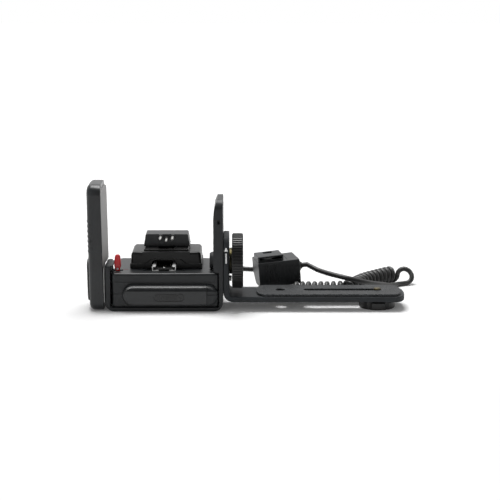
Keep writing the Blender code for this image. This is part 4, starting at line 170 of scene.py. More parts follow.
class Finish:
    """A material: its surface shader, the start of its node tree, and the place on the piece as a socket."""

    def __init__(self, name, roughness=0.5, metallic=0.0, specular=0.5):
        self.material = bpy.data.materials.new(name)
        self.material.use_nodes = True
        tree = self.material.node_tree
        self.shader = tree.nodes["Principled BSDF"]
        self.start = Socket(tree)
        self.place = self.start.node("ShaderNodeTexCoord", out="Object")
        self.set("Roughness", roughness)
        self.set("Metallic", metallic)
        self.set("Specular IOR Level", specular)

    def set(self, name, value):
        if isinstance(value, Socket):
            value.tree.links.new(value.output, self.shader.inputs[name])
        else:
            self.shader.inputs[name].default_value = value

    def stain(self, mask, colour):
        """Lays a colour over the base colour where the mask is 1."""
        below = self.shader.inputs["Base Color"].links[0].from_socket
        self.set("Base Color", mask.over(Socket(mask.tree, below), colour))

    def bump(self, height, depth, strength=1.0):
        """Raises the surface by depth where height is 1."""
        numbers = {"Height": height, "Distance": depth, "Strength": strength}
        self.set("Normal", height.node("ShaderNodeBump", numbers))


def showing(start):
    """1 for the rays that show the plain surroundings: straight to the camera, off gloss and through glass."""
    kinds = ("Is Camera Ray", "Is Glossy Ray", "Is Transmission Ray")
    straight, gloss, glass = (start.node("ShaderNodeLightPath", out=kind) for kind in kinds)
    return (straight + gloss + glass).ramp(0, 1)


world = bpy.data.worlds.new("studio")
bpy.context.scene.world = world
world.use_nodes = True
around = Socket(world.node_tree)
behind = around.node("ShaderNodeTexCoord", out="Generated").axis("Y").ramp(*SWEEP_EDGE)
mirrored = around.node("ShaderNodeLightPath", out="Is Glossy Ray")
room = 1 - mirrored * (1 - behind) * (1 - ROOM_IN_GLOSS)
strength = (WORLD_LIGHT + showing(around) * (1 - WORLD_LIGHT)) * room
background = world.node_tree.nodes["Background"]
background.inputs["Color"].default_value = (*WHITE, 1)
world.node_tree.links.new(strength.output, background.inputs["Strength"])

paper = Finish("paper", roughness=PAPER_ROUGHNESS, specular=0.0)
across = paper.place.axis("X")
along = paper.place.axis("Y")
far_off = (across * across + along * along).ramp(NEAR_FLOOR ** 2, FAR_FLOOR ** 2)
glow = showing(paper.start) * (far_off * (1 - FLOOR_LIFT) + FLOOR_LIFT)
paper.set("Base Color", PAPER_COLOUR)
paper.set("Emission Color", glow.tint(BLACK, WHITE))
paper.set("Emission Strength", 1.0)

floor_mesh = bpy.data.meshes.new("floor")
half = FLOOR_SIDE / 2
corners = [(-half, -half, 0), (half, -half, 0), (half, half, 0), (-half, half, 0)]
floor_mesh.from_pydata(corners, [], [(0, 1, 2, 3)])
floor_mesh.materials.append(paper.material)
floor = bpy.data.objects.new("floor", floor_mesh)
bpy.context.scene.collection.objects.link(floor)


def lamp(name, place, side, power):
    light = bpy.data.lights.new(name, "AREA")
    light.shape = "DISK"
    light.size = side
    light.energy = power
    stand = bpy.data.objects.new(name, light)
    stand.location = place
    aim = Vector(LAMP_AIM) - Vector(place)
    stand.rotation_euler = aim.to_track_quat("-Z", "Y").to_euler()
    bpy.context.scene.collection.objects.link(stand)


lamp("key", KEY_PLACE, KEY_SIDE, KEY_POWER)
lamp("fill", FILL_PLACE, FILL_SIDE, FILL_POWER)

# Curly lead: one black rubbery cord, straight from the gland in the cradle's back, wound as a helix that lies on the
# table, and straight again into the strain relief of the adapter. Its middle line is drawn through the same points
# as the solid's.

CORD = 4.4 * MM
CURL_ACROSS = 15.5 * MM
CURL_PITCH = 5.15 * MM
CURL_STEPS = 9
CURL_SAMPLES = 400
CURL_FINE = 2
LAST_CURL_STRETCH = 3.0
ROUTE_SAMPLES = 24
CORD_STEP = 1.4
CORD_GAP = 0.3 * MM
CORD_ROUNDNESS = 4
GLAND_MOUTH = (36.0, 54.8, 20.0)
GLAND_WAY = (0, 1, 0)
RELIEF_MOUTH = (118.517, 52.8, 23.998)
RELIEF_WAY = (0.97847, 0.19019, 0.0802)
LEAD_MM = [
    (39.5, 66.6, 19.0), (47.0, 70.2, 18.0), (58.0, 71.0, 17.0), (70.0, 70.8, 16.2), (82.0, 72.0, 15.2),
    (93.0, 74.8, 12.0), (102.0, 75.4, 7.0), (108.6, 70.6, 3.2), (111.6, 61.0, 2.3), (112.6, 50.0, 2.3),
    (112.2, 40.0, 2.3),
]
AXIS_MM = [
    (109.8, 25.0), (122.0, 25.2), (135.0, 25.6), (148.0, 26.4), (157.0, 29.6), (163.4, 38.0), (168.0, 48.0),
    (174.0, 58.4), (182.4, 68.6), (190.8, 77.0), (198.8, 84.6), (205.8, 89.2), (211.6, 87.0), (214.2, 81.0),
    (214.4, 74.6),
]
TAIL_MM = [
    (203.4, 65.4, 2.5), (197.2, 57.6, 4.4), (190.0, 47.8, 7.4), (181.6, 37.4, 10.6), (170.6, 28.8, 14.4),
    (157.0, 26.2, 18.2), (142.4, 35.8, 19.8), (131.8, 47.0, 21.0),
]
CORD_DUST = 9 * MM
CORD_BLOOM = 0.5 * MM
CORD_BLOOM_DEPTH = 0.05 * MM


def smooth_route(points, before=None, after=None):
    """Points of a smooth curve through the given ones, many between each two."""
    spots = [before or points[0] * 2 - points[1], *points, after or points[-1] * 2 - points[-2]]
    route = []
    for index in range(1, len(spots) - 2):
        a, b, c, d = spots[index - 1:index + 3]
        for step in range(ROUTE_SAMPLES):
            t = step / ROUTE_SAMPLES
            straight = b * 2 + (c - a) * t
            bend = (a * 2 - b * 5 + c * 4 - d) * t * t + (b * 3 - a - c * 3 + d) * t ** 3
            route.append((straight + bend) / 2)
    route.append(points[-1])
    return route


def spaced(route, step):
    """The same route with a point at each even step of its length, and that length."""
    lengths = [0.0]
    for before, after in zip(route, route[1:]):
        lengths.append(lengths[-1] + (after - before).length)
    count = max(2, round(lengths[-1] / step))
    spots = []
    index = 0
    for number in range(count + 1):
        target = lengths[-1] * number / count
        while index < len(lengths) - 2 and lengths[index + 1] < target:
            index += 1
        share = (target - lengths[index]) / (lengths[index + 1] - lengths[index])
        spots.append(route[index].lerp(route[index + 1], share))
    return spots, lengths[-1]


def curl_line(fine):
    """The helix of the curly stretch, with fine points for each point of the solid."""
    level = CURL_ACROSS / 2
    radius = (CURL_ACROSS - CORD) / 2
    marks = [Vector((x * MM, y * MM, level)) for x, y in AXIS_MM]
    axis, length = spaced(smooth_route(marks), CURL_PITCH / CURL_SAMPLES * CURL_STEPS)
    step = length / (len(axis) - 1)
    turns = [0.0]
    for index in range(1, len(axis)):
        before = axis[index] - axis[max(0, index - CURL_STEPS)]
        after = axis[min(len(axis) - 1, index + CURL_STEPS)] - axis[index]
        bend = before.angle(after, 0.0) / (CURL_STEPS * step)
        turns.append(turns[-1] + step / CURL_PITCH * (1 - radius * bend))
    spare = turns[-1] - LAST_CURL_STRETCH / 2
    whole = math.floor(spare + 0.5)
    scale = (whole - 0.5) / spare
    points = []
    index = 0
    for number in range(whole * CURL_STEPS * fine + 1):
        turn = number / (CURL_STEPS * fine)
        drawn = max(0.0, turn - whole + 0.5) * LAST_CURL_STRETCH
        wanted = min(turn, whole - 0.5) / scale + drawn
        while index < len(turns) - 2 and turns[index + 1] < wanted:
            index += 1
        share = min(1.0, (wanted - turns[index]) / (turns[index + 1] - turns[index]))
        centre = axis[index].lerp(axis[index + 1], share)
        forward = (axis[index + 1] - axis[index]).normalized()
        side = Vector((-forward.y, forward.x, 0))
        angle = math.pi + math.tau * turn
        points.append(centre + radius * (math.cos(angle) * Vector((0, 0, 1)) + math.sin(angle) * side))
    return points


def level_way(start, end):
    """The direction from one point to another, along the table."""
    way = end - start
    way.z = 0
    return way.normalized()


def free_run(start, start_way, middle, end, end_way):
    """A free stretch, straight for one cord's width at both ends."""
    inner = [start + start_way * CORD, *(Vector(point) * MM for point in middle), end + end_way * CORD]
    return [start, *spaced(smooth_route(inner, start, end), CORD_STEP * CORD)[0], end]


def line_length(points):
    return sum((after - before).length for before, after in zip(points, points[1:]))


def grey(level, warm=0.0):
    """A linear grey from an 8-bit level, slightly warm, or cool where warm is below 0."""
    value = ((level / 255 + 0.055) / 1.055) ** 2.4
    return (value * (1 + warm), value, value * (1 - warm))


def cord_skin():
    """Black rubbery skin: a fine matt bloom, and dust that lies on it in soft clouds."""
    skin = Finish("cord_skin")
    dust = skin.place.noise(CORD_DUST, 3)
    bloom = skin.place.noise(CORD_BLOOM)
    skin.set("Base Color", dust.ramp(0.35, 0.75).tint(grey(26), grey(44, 0.01)))
    skin.set("Roughness", 0.32 + dust * 0.12 + bloom * 0.06)
    skin.bump(bloom + dust * 0.4, CORD_BLOOM_DEPTH, 0.5)
    return skin


def cord_piece(name, points, finish):
    """A round cord along a line of points."""
    curve = bpy.data.curves.new(name, "CURVE")
    curve.dimensions = "3D"
    curve.bevel_depth = CORD / 2
    curve.bevel_resolution = CORD_ROUNDNESS
    curve.use_fill_caps = True
    spline = curve.splines.new("POLY")
    spline.points.add(len(points) - 1)
    for knot, point in zip(spline.points, points):
        knot.co = (*point, 1.0)
    spline.use_smooth = True
    curve.materials.append(finish.material)
    piece = bpy.data.objects.new(name, curve)
    bpy.context.scene.collection.objects.link(piece)
    return piece


coarse = curl_line(1)
curls = curl_line(CURL_FINE)
entry = level_way(coarse[0], coarse[1])
leaving = level_way(coarse[-2], coarse[-1])
curl_start = coarse[0] - entry * CORD
curl_end = coarse[-1] + leaving * CORD
gland_mouth = Vector(GLAND_MOUTH) * MM
relief_mouth = Vector(RELIEF_MOUTH) * MM
lead_line = free_run(gland_mouth, Vector(GLAND_WAY), LEAD_MM, curl_start - entry * CORD_GAP, -entry)
tail_line = free_run(curl_end + leaving * CORD_GAP, leaving, TAIL_MM, relief_mouth, Vector(RELIEF_WAY))
whole_line = [*lead_line, curl_start, *curls, curl_end, *tail_line]
lead = cord_piece("cord", whole_line, cord_skin())
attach(lead, "cradle")
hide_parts("cord_lead", "cord_curls", "cord_tail")
print("cord length", round(line_length(whole_line), 4), "lead", round(line_length(lead_line), 4),
      "tail", round(line_length(tail_line), 4))
line_length(whole_line)

# Cradle: a U-shaped frame with its upright, and a case in two halves under the deck, moulded in black plastic. They
# keep the fine spark-eroded grain of their moulds and are paler and duller where hands and cloth have rubbed them.

FINE_EDGE = 0.14 * MM
SOFT_EDGE = 0.3 * MM
EDGE_STEPS = 2
EDGE_ANGLE = 32
WELD_REACH = 0.002 * MM
SHADING_WEIGHT = 80
GRAIN = 0.34 * MM
GRAIN_DEPTH = 0.035
FRAME_GRAIN = 0.5 * MM
FRAME_GRAIN_DEPTH = 0.05
PLASTIC_CLOUD = 23 * MM
PLASTIC_RUB = 4.5 * MM
PLASTIC_SPECK = 0.9 * MM
PLASTIC_SCRATCH = 6 * MM
SCRATCH_WAY = (1, 1, 9)
CASE_TONES = grey(16, -0.15), grey(29, -0.17)
FRAME_TONES = grey(18, -0.15), grey(31, -0.17)
BOW_REACH = 5.9 * MM
BOW_DEPTH = 5.6
BOW_CURVE = 1.3
BAY_END = 35.3 * MM
BAY_FACE = -22.3 * MM
LEVER_PIT = (-42.0 * MM, -9.0 * MM)
LEVER_PIT_SIZE = (5.2 * MM, 3.6 * MM)
# Colour of painted shade: the dark laid round the lever's foot and in the door's finger grip, where shade falls.
PAINTED_SHADE = (0.0016, 0.0016, 0.0018)


def moulded(name, tones, grain=GRAIN, depth=GRAIN_DEPTH, roughness=0.33, specular=0.4, streak=(1, 1, 1)):
    """Black moulded plastic: fine grain, depth millimetres deep, with a cloudy tone, scratches and rubbed spots."""
    plastic = Finish(name, specular=specular)
    cloud = plastic.place.noise(PLASTIC_CLOUD, 3, 0.6)
    rubbed = plastic.place.noise(PLASTIC_RUB, 4, 0.7, streak)
    fine = plastic.place.noise(grain, 2, 0.6)
    specks = plastic.place.noise(PLASTIC_SPECK, 1).ramp(0.70, 0.78)
    scratch = plastic.place.noise(PLASTIC_SCRATCH, 3, 0.55, SCRATCH_WAY).ramp(0.64, 0.70)
    tone = cloud.ramp(0.3, 0.7) * 0.55 + rubbed.ramp(0.4, 0.8) * 0.3 + specks * 0.15
    plastic.set("Base Color", tone.tint(*tones))
    plastic.set("Roughness", roughness + rubbed * 0.12 - scratch * 0.05 + fine * 0.05)
    plastic.bump(fine + scratch * -0.2, depth * MM, 0.8)
    return plastic


def bowed(plastic, share=1):
    """The rounding of the long battery bulge towards its top, under the moulded grain."""
    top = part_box("battery_door")[1][2]
    rise = plastic.place.axis("Z").ramp(top - BOW_REACH, top)
    fine = plastic.place.noise(GRAIN, 2, 0.6)
    plastic.bump(rise.math("POWER", rise, BOW_CURVE) * share * -BOW_DEPTH + fine * GRAIN_DEPTH, MM)


def oval(place, letters, centre, size, soft=0.3):
    """A soft-edged oval, 1 inside, on the plane of two axes."""
    far = 0
    for letter, middle, reach in zip(letters, centre, size):
        step = (place.axis(letter) - middle) * (1 / reach)
        far = step * step + far
    return 1 - far.ramp(1 - soft, 1 + soft)


def wear(piece, edge):
    """Rounds a node's fine edges and evens its shading; the node's own mesh stays as it is."""
    weld = piece.modifiers.new("weld", "WELD")
    weld.merge_threshold = WELD_REACH
    if edge:
        fine = piece.modifiers.new("edges", "BEVEL")
        fine.width = edge
        fine.segments = EDGE_STEPS
        fine.limit_method = "ANGLE"
        fine.angle_limit = math.radians(EDGE_ANGLE)
        fine.use_clamp_overlap = True
        fine.harden_normals = False
    even = piece.modifiers.new("shading", "WEIGHTED_NORMAL")
    even.mode = "FACE_AREA"
    even.weight = SHADING_WEIGHT
    even.keep_sharp = False


def coat(finish, *names, edge=FINE_EDGE):
    """Gives CAD nodes a finish and fine edges."""
    for name in names:
        piece = nodes[name]
        piece.data.materials.clear()
        piece.data.materials.append(finish.material)
        for face in piece.data.polygons:
            face.material_index = 0
        wear(piece, edge)


case_skin = moulded("case_skin", CASE_TONES)
case_place = case_skin.place
bowed(case_skin, (case_place.axis("X") > BAY_END) * (case_place.axis("Y") < BAY_FACE))
# Painted shade: a soft dark oval on the deck round the lever's foot, where its slot and the frame's cheek lie in
# shade.
case_skin.stain(oval(case_place, "XY", LEVER_PIT, LEVER_PIT_SIZE), PAINTED_SHADE)
coat(case_skin, "case_bottom")
coat(case_skin, "case_top", edge=SOFT_EDGE)
frame_skin = moulded("frame_skin", FRAME_TONES, FRAME_GRAIN, FRAME_GRAIN_DEPTH, roughness=0.4)
coat(frame_skin, "cradle_frame")

# Battery door: the front of the battery bulge, a smoother black moulding that slides along the case. Its oval finger
# grip is coloured darker as painted shade, the way its recess would look.

DOOR_TONES = grey(15, -0.15), grey(27, -0.17)
GRIP_PLACE = (3.5 * MM, 12.7 * MM)
GRIP_SIZE = (12.9 * MM, 3.5 * MM)
GRIP_SHADE_SHARE = 0.7

door_skin = moulded("door_skin", DOOR_TONES, roughness=0.24, specular=0.5)
bowed(door_skin)
# Painted shade: the oval finger grip is laid darker, as its recess would look in shade.
door_skin.stain(oval(door_skin.place, "XZ", GRIP_PLACE, GRIP_SIZE) * GRIP_SHADE_SHARE, PAINTED_SHADE)
coat(door_skin, "battery_door")

# Inside the case: four cells in printed sleeves between sprung contact strips, and a small green circuit board. The
# case is held by four upright steel screws.

SHEET_EDGE = 0.05 * MM
PIN_EDGE = 0.06 * MM
SLEEVE_BAND = 19 * MM
SLEEVE_DARK = (0.015, 0.025, 0.05)
SLEEVE_BRIGHT = (0.5, 0.36, 0.12)
SLEEVE_SCUFF = (0.2, 0.2, 0.2)
SLEEVE_SCUFF_SIZE = 4 * MM
SLEEVE_FINE = 0.5 * MM
SLEEVE_DEPTH = 0.01 * MM
BOARD_TONES = (0.008, 0.06, 0.03), (0.02, 0.14, 0.06)
TRACK_SIZE = 5 * MM
TRACK_WAY = (1, 0.25, 1)
TRACK_LINES = 9
TRACK_DEPTH = 0.03 * MM
BOARD_FINE = 0.4 * MM
STEEL_TONES = (0.36, 0.36, 0.36), (0.62, 0.62, 0.61)
TARNISH = (0.1, 0.09, 0.07)
TARNISH_SIZE = 2.6 * MM
TOOL_PITCH = 0.25 * MM
TOOL_DEPTH = 0.02 * MM
TOOL_STRETCH = 0.04


def turned_metal(name, tones, axis, roughness=0.3, patches=0.5):
    """Metal turned or rolled about an axis: fine lines round it, and dull patches where it has tarnished."""
    metal = Finish(name, metallic=1.0)
    squeeze = [1 if letter == axis else TOOL_STRETCH for letter in "XYZ"]
    lines = metal.place.noise(TOOL_PITCH, 2, 0.6, squeeze)
    dull = metal.place.noise(TARNISH_SIZE, 4, 0.7).ramp(0.5, 0.72) * patches
    metal.set("Base Color", dull.over(lines.tint(*tones), TARNISH))
    metal.set("Roughness", roughness + lines * 0.12 + dull * 0.25)
    metal.set("Metallic", 1 - dull * 0.5)
    metal.bump(lines, TOOL_DEPTH, 0.5)
    return metal


def cell_sleeve():
    """A printed sleeve: dark, with a bright band at its far end, and scuffed."""
    sleeve = Finish("cell_sleeve")
    scuff = sleeve.place.noise(SLEEVE_SCUFF_SIZE, 4, 0.7).ramp(0.6, 0.8)
    fine = sleeve.place.noise(SLEEVE_FINE)
    band = sleeve.place.axis("Y") > SLEEVE_BAND
    sleeve.set("Base Color", scuff.over(band.tint(SLEEVE_DARK, SLEEVE_BRIGHT), SLEEVE_SCUFF))
    sleeve.set("Roughness", 0.25 + scuff * 0.2)
    sleeve.bump(fine, SLEEVE_DEPTH, 0.5)
    return sleeve


def board_green():
    """Green lacquer over copper tracks."""
    board = Finish("board_green")
    tracks = (board.place.noise(TRACK_SIZE, 1, 0.3, TRACK_WAY) * TRACK_LINES).fraction() > 0.55
    fine = board.place.noise(BOARD_FINE)
    board.set("Base Color", tracks.tint(*BOARD_TONES))
    board.set("Roughness", 0.35 + fine * 0.2)
    board.bump(tracks * 0.5 + fine * 0.3, TRACK_DEPTH, 0.6)
    return board


coat(cell_sleeve(), "aa_cell_1", "aa_cell_2", "aa_cell_3", "aa_cell_4", edge=0.0)
coat(board_green(), "circuit_board", edge=0.0)
sheet_steel = turned_metal("sheet_steel", STEEL_TONES, "Y", 0.38, patches=0.35)
coat(sheet_steel, "door_contacts", "rear_contacts", edge=SHEET_EDGE)
upright_steel = turned_metal("upright_steel", STEEL_TONES, "Z", 0.34)
coat(upright_steel, "case_screw_1", "case_screw_2", "case_screw_3", "case_screw_4", edge=PIN_EDGE)

# Hand grip: a ribbed black shell, a warm grey liner towards the hand's heel, and a rubber palm pad on the outside.
# The liner's pale colour is partly painted light, for the sheen on its side that faces the bright room. A steel
# plate and two screws hold it to the cradle.

SHELL_TONES = grey(27, -0.03), grey(40, -0.15)
SHELL_GRAIN = 0.42 * MM
SHELL_STREAK = (1, 1, 0.3)
# The liner's own warm grey, made paler as painted light for the sheen on its side that faces the bright room.
LINER_AND_SHEEN_TONES = grey(138, 0.02), grey(160, 0.025)
LINER_GRAIN = 0.4 * MM
PALM_TONES = grey(34), grey(50)
PALM_PEBBLE = 1.3 * MM
PALM_DEPTH = 0.2 * MM
RUBBER_DUST = 7 * MM


def pebbled(name, tones, size, depth, roughness=0.55):
    """Rubber moulded in a pebbled tool: round lumps with a painted highlight on top and painted shade between, and
    dust.
    """
    rubber = Finish(name)
    crown = 1 - rubber.place.cells(size).ramp(0.1, 0.62)
    dust = rubber.place.noise(RUBBER_DUST, 3, 0.6)
    # Painted light: the lumps' crowns are coloured paler and the hollows between them darker; the dust lies in soft
    # clouds.
    tone = crown * 0.5 + dust.ramp(0.35, 0.7) * 0.5
    rubber.set("Base Color", tone.tint(*tones))
    rubber.set("Roughness", roughness + dust * 0.12 - crown * 0.08)
    rubber.bump(crown + dust * 0.1, depth)
    return rubber


coat(moulded("grip_skin", SHELL_TONES, SHELL_GRAIN, roughness=0.25, streak=SHELL_STREAK), "grip_shell")
# Painted light: the liner is coloured pale partly for the sheen on its side.
coat(moulded("liner_skin", LINER_AND_SHEEN_TONES, LINER_GRAIN, roughness=0.45), "grip_liner")
coat(pebbled("palm_rubber", PALM_TONES, PALM_PEBBLE, PALM_DEPTH), "grip_pad")
coat(sheet_steel, "grip_plate", edge=SHEET_EDGE)
steel = turned_metal("turned_steel", STEEL_TONES, "X", 0.32)
coat(steel, "grip_screw_1", "grip_screw_2", edge=PIN_EDGE)

# Arm: a bent aluminium bar in black crackle paint, with paler scuffs drawn out along it, a pebbled rubber pad glued
# on it, a brass tripod bush and a steel pin let in, and a lock arrow with a plain bar painted on its leg.

ARM_EDGE = 0.2 * MM
BUSH_EDGE = 0.08 * MM
ARM_TONES = grey(27, -0.15), grey(46, -0.17)
CRACKLE = 1.5 * MM
CRACKLE_DEPTH = 0.05 * MM
ARM_FINE = 0.35 * MM
ARM_CLOUD = 18 * MM
ARM_SCUFF = 5 * MM
ARM_SCUFF_WAY = (0.35, 1, 1)
PAD_TONES = grey(20, -0.17), grey(56, -0.1)
PAD_PEBBLE = 1.5 * MM
PAD_DEPTH = 0.9 * MM
BRASS_TONES = (0.045, 0.038, 0.018), (0.15, 0.125, 0.055)
WHITE_TONES = grey(224), grey(246)
MARK_THICK = 0.06 * MM
MARK_LIFT = 0.02 * MM
MARK_WEAR = 0.6 * MM
MARK_DEPTH = 0.01 * MM
LEG_HALF = 2.4
ARROW_HALF = 1.6
ARROW_FOOT = 52.2
ARROW_TIP = 55.6
BAR_HALF = 0.5
BAR_FOOT = 41.8
BAR_TOP = 50.4


def crackle_paint():
    """Black crackle paint: fine cracks, soft clouds, and scuffs along the arm."""
    paint = Finish("arm_paint", specular=0.35)
    cracks = paint.place.cells(CRACKLE, "DISTANCE_TO_EDGE").ramp(0.0, 0.16)
    fine = paint.place.noise(ARM_FINE)
    cloud = paint.place.noise(ARM_CLOUD, 3, 0.6)
    scuffs = paint.place.noise(ARM_SCUFF, 5, 0.75, ARM_SCUFF_WAY).ramp(0.62, 0.8)
    tone = cloud.ramp(0.3, 0.7) * 0.5 + scuffs * 0.4 + cracks * 0.1
    paint.set("Base Color", tone.tint(*ARM_TONES))
    paint.set("Roughness", 0.54 + cloud * 0.12 + fine * 0.08 - cracks * 0.04)
    paint.bump(cracks * 0.6 + fine * 0.5, CRACKLE_DEPTH, 0.8)
    return paint


def mark_paint(name, tones):
    """Thin printed paint, worn in small spots."""
    paint = Finish(name, specular=0.3)
    worn = paint.place.noise(MARK_WEAR, 3, 0.7)
    paint.set("Base Color", worn.ramp(0.35, 0.65).tint(*tones))
    paint.set("Roughness", 0.45 + worn * 0.15)
    paint.bump(worn, MARK_DEPTH, 0.5)
    return paint


def rectangle(left, low, right, top):
    return [(left, low), (right, low), (right, top), (left, top)]


def flat_mark(name, outlines, face, finish, body, upward=False):
    """Thin painted shapes on a face that looks to the front or up: outlines are lists of places in millimetres."""

    def at(place, lift):
        first, second = place
        if upward:
            return (first * MM, second * MM, face + lift)
        return (first * MM, face - lift, second * MM)

    shapes = bmesh.new()
    for outline in outlines:
        low = [shapes.verts.new(at(place, MARK_LIFT)) for place in outline]
        high = [shapes.verts.new(at(place, MARK_LIFT + MARK_THICK)) for place in outline]
        shapes.faces.new(low)
        shapes.faces.new(list(reversed(high)))
        count = len(outline)
        for index in range(count):
            after = (index + 1) % count
            shapes.faces.new((low[after], low[index], high[index], high[after]))
    bmesh.ops.recalc_face_normals(shapes, faces=shapes.faces)
    mesh = bpy.data.meshes.new(name)
    shapes.to_mesh(mesh)
    shapes.free()
    mesh.materials.append(finish.material)
    piece = bpy.data.objects.new(name, mesh)
    bpy.context.scene.collection.objects.link(piece)
    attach(piece, body)
    return piece


coat(crackle_paint(), "bracket_arm", edge=ARM_EDGE)
coat(pebbled("pad_rubber", PAD_TONES, PAD_PEBBLE, PAD_DEPTH, 0.56), "arm_pad")
brass = turned_metal("turned_brass", BRASS_TONES, "X")
coat(brass, "tripod_bush", edge=BUSH_EDGE)
coat(steel, "locating_pin", edge=PIN_EDGE)

arm_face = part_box("bracket_arm")[0][1]
leg_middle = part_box("bracket_arm")[0][0] / MM + LEG_HALF
arrow = [(leg_middle - ARROW_HALF, ARROW_FOOT), (leg_middle + ARROW_HALF, ARROW_FOOT), (leg_middle, ARROW_TIP)]
bar = rectangle(leg_middle - BAR_HALF, BAR_FOOT, leg_middle + BAR_HALF, BAR_TOP)
white = mark_paint("mark_white", WHITE_TONES)
mark = flat_mark("arm_lock_mark", [arrow, bar], arm_face, white, "cradle")

# Clamp: a large ribbed knob of black plastic with its cap, on a turned brass collar and a steel screw. Its nut is
# let into the cradle's upright.

KNOB_TONES = grey(15), grey(27)
KNOB_GRAIN = 0.3 * MM
KNOB_GRAIN_DEPTH = 0.025
KNOB_STREAK = (0.3, 1, 1)
COLLAR_TONES = (0.05, 0.042, 0.02), (0.14, 0.12, 0.055)
# Colour and height of the painted shade below the collar's upper rim.
COLLAR_SHADE = (0.03, 0.027, 0.018)
COLLAR_SHADE_TOP = 48.5 * MM
COLLAR_SHADE_FADE = 2 * MM

knob_skin = moulded("knob_skin", KNOB_TONES, KNOB_GRAIN, KNOB_GRAIN_DEPTH, roughness=0.3, streak=KNOB_STREAK)
coat(knob_skin, "clamp_knob", "knob_cap")
coat(brass, "clamp_nut", edge=BUSH_EDGE)
collar_brass = turned_metal("collar_brass", COLLAR_TONES, "X")
# Painted shade: the collar is coloured darker below its upper rim, which alone catches the light.
collar_brass.stain(1 - collar_brass.place.axis("Z").ramp(COLLAR_SHADE_TOP - COLLAR_SHADE_FADE, COLLAR_SHADE_TOP), COLLAR_SHADE)
coat(collar_brass, "clamp_collar", edge=BUSH_EDGE)
coat(steel, "clamp_screw", edge=PIN_EDGE)

# Camera screw: brass, captive in a blackened steel slider under the arm, with a lobed black knob moulded round the
# brass core at its foot.

SCREW_BRASS_TONES = (0.03, 0.026, 0.016), (0.12, 0.1, 0.055)
LOBED_TONES = grey(18), grey(32)
BLACK_STEEL_TONES = (0.012, 0.012, 0.013), (0.04, 0.04, 0.042)

screw_brass = turned_metal("screw_brass", SCREW_BRASS_TONES, "Z", 0.4, patches=0.9)
coat(screw_brass, "camera_screw", "screw_knob_core", edge=PIN_EDGE)
coat(moulded("lobed_skin", LOBED_TONES, roughness=0.3), "camera_screw_knob")
coat(turned_metal("black_steel", BLACK_STEEL_TONES, "Y", 0.5, patches=0.3), "screw_slider", edge=SHEET_EDGE)

# Flash seat: chromed steel rails bent over a dark insulator, with three sprung contacts in it and a steel lock pin
# that rises between them.

RAIL_EDGE = 0.1 * MM
CHROME_AND_SHEEN_TONES = (0.86, 0.86, 0.85), (0.66, 0.66, 0.66)
CHROME_CLOUD = 3.4 * MM
CHROME_RUB = 0.8 * MM
CHROME_RUB_WAY = (1, 0.06, 1)
CHROME_RUB_DEPTH = 0.012 * MM
GRIME = (0.3, 0.29, 0.26)
INSULATOR_TONES = grey(20), grey(34, 0.02)
INSULATOR_GRAIN = 0.25 * MM
CONTACT_TONES = (0.42, 0.38, 0.3), (0.7, 0.66, 0.56)


def chromed():
    """Chromed steel: partly a pale matt colour as painted reflection, cloudy, rubbed along the flash's way in, grimy
    in spots.
    """
    chrome = Finish("shoe_chrome", metallic=0.35)
    cloud = chrome.place.noise(CHROME_CLOUD, 4, 0.7)
    rub = chrome.place.noise(CHROME_RUB, 2, 0.6, CHROME_RUB_WAY)
    grime = cloud.ramp(0.6, 0.78)
    # Painted reflection: the pale tones under the low metal share stand for the bright room mirrored in the rails.
    chrome.set("Base Color", grime.over(cloud.tint(*CHROME_AND_SHEEN_TONES), GRIME))
    chrome.set("Roughness", 0.26 + rub * 0.14 + grime * 0.25)
    chrome.bump(rub, CHROME_RUB_DEPTH, 0.4)
    return chrome


coat(chromed(), "shoe_rails", edge=RAIL_EDGE)
coat(moulded("insulator_skin", INSULATOR_TONES, INSULATOR_GRAIN, roughness=0.4), "shoe_insulator", edge=PIN_EDGE)
contact_metal = turned_metal("contact_metal", CONTACT_TONES, "Z", 0.25, patches=0.4)
coat(contact_metal, "shoe_contact_centre", "shoe_contact_ready", "shoe_contact_quench", edge=0.0)
coat(upright_steel, "shoe_lock_pin", edge=PIN_EDGE)

# Terminal: a black moulded housing and head on the deck behind the flash seat, with three bright pins that feed the
# flash. The housing is smoother and darker than the case.

TERMINAL_TONES = grey(8), grey(15)
PIN_TONES = (0.3, 0.3, 0.29), (0.5, 0.5, 0.49)

terminal_skin = moulded("terminal_skin", TERMINAL_TONES, roughness=0.26, specular=0.25)
coat(terminal_skin, "connector_base", edge=SOFT_EDGE)
coat(case_skin, "connector_head")
pin_metal = turned_metal("pin_metal", PIN_TONES, "Y", 0.34)
coat(pin_metal, "power_pin_1", "power_pin_2", "power_pin_3", edge=0.0)

# Lock lever: glossy red plastic on a steel pin, hooked to a flat bar under the deck. A white dot is painted at its
# foot and a small dull red dash beside it on the deck.

LEVER_EDGE = 0.15 * MM
RED_TONES = (0.46, 0.005, 0.01), (0.66, 0.014, 0.02)
RED_DIRT = (0.1, 0.005, 0.008)
RED_CLOUD = 5 * MM
RED_FINE = 0.4 * MM
RED_FINE_DEPTH = 0.015 * MM
RED_DIRT_SIZE = 1.8 * MM
DOT_HEIGHT = 34.9
DOT_RADIUS = 0.95
DOT_SIDES = 16
DASH_TONES = (0.12, 0.012, 0.014), (0.2, 0.02, 0.022)
DASH = (-36.2, -6.9)
DASH_SIZE = (4.0, 0.9)


def red_gloss():
    """Glossy red plastic with soft clouds in its colour and small spots of dirt."""
    red = Finish("lever_red", specular=0.4)
    cloud = red.place.noise(RED_CLOUD, 3, 0.6)
    fine = red.place.noise(RED_FINE)
    dirt = red.place.noise(RED_DIRT_SIZE, 4, 0.7).ramp(0.62, 0.78)
    red.set("Base Color", dirt.over(cloud.tint(*RED_TONES), RED_DIRT))
    red.set("Roughness", 0.24 + cloud * 0.1 + dirt * 0.2)
    red.bump(fine, RED_FINE_DEPTH, 0.5)
    return red


coat(red_gloss(), "lock_lever", edge=LEVER_EDGE)
coat(pin_metal, "lever_pin", edge=0.0)
coat(sheet_steel, "lock_bar", edge=SHEET_EDGE)

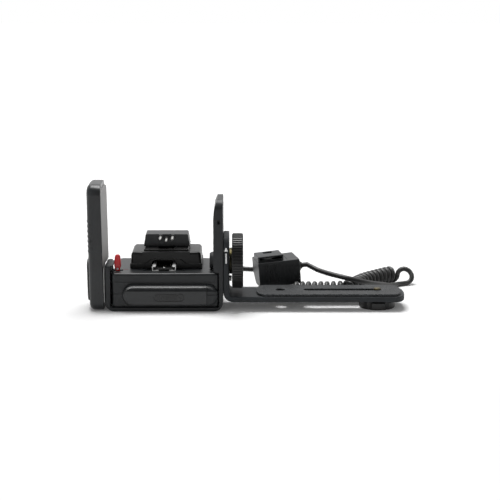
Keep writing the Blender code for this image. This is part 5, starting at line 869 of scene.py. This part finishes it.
lever_low, lever_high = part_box("lock_lever")
lever_middle = (lever_low[0] + lever_high[0]) / 2 / MM
in_front = Vector((lever_middle * MM, lever_low[1] - MM, DOT_HEIGHT * MM))
bpy.context.view_layer.update()
lever_face = nodes["lock_lever"].ray_cast(in_front, Vector((0, 1, 0)))[1].y
dot = []
for side in range(DOT_SIDES):
    angle = math.tau * side / DOT_SIDES
    dot.append((lever_middle + DOT_RADIUS * math.cos(angle), DOT_HEIGHT + DOT_RADIUS * math.sin(angle)))
lever_dot = flat_mark("lever_dot", [dot], lever_face, white, "lever")

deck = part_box("case_top")[1][2]
dash_x, dash_y = DASH
dash_long, dash_wide = DASH_SIZE
dash = rectangle(dash_x, dash_y, dash_x + dash_long, dash_y + dash_wide)
dull_red = mark_paint("mark_red", DASH_TONES)
deck_dash = flat_mark("deck_dash", [dash], deck, dull_red, "cradle", upward=True)

# Adapter: a black moulded block at the cord's end, with a shoe and a contact on top, a turning lock ring and a steel
# foot below, and a rubbery strain relief. Shallow upright ribs are moulded in its front.

RIB_PITCH = 2.4 * MM
RIB_TOP = 29.5 * MM
RIB_SHARE = 0.72
RIB_DEPTH = 0.4
ADAPTER_TONES = grey(20, -0.15), grey(34, -0.17)
ADAPTER_GRAIN = 0.36 * MM
RING_TONES = grey(22), grey(36)
RELIEF_TONES = grey(16), grey(28)

adapter_skin = moulded("adapter_skin", ADAPTER_TONES, ADAPTER_GRAIN, roughness=0.34)
here = adapter_skin.place
along_face = here.axis("X") * RELIEF_WAY[0] + here.axis("Y") * RELIEF_WAY[1]
between_ribs = (along_face * (1 / RIB_PITCH)).fraction() > RIB_SHARE
groove = between_ribs * (1 - here.axis("Z").ramp(RIB_TOP - RIB_PITCH, RIB_TOP))
adapter_skin.bump(here.noise(ADAPTER_GRAIN, 2, 0.6) * GRAIN_DEPTH + groove * -RIB_DEPTH, MM)
coat(adapter_skin, "adapter_body", "adapter_shoe_block", "adapter_shoe_plate", "cord_gland")
coat(moulded("ring_skin", RING_TONES), "adapter_lock_ring")
coat(moulded("relief_skin", RELIEF_TONES, roughness=0.45), "adapter_strain_relief")
coat(contact_metal, "adapter_hot_contact", edge=0.0)
coat(turned_metal("foot_steel", STEEL_TONES, "Y", patches=0.3), "adapter_foot", edge=SHEET_EDGE)
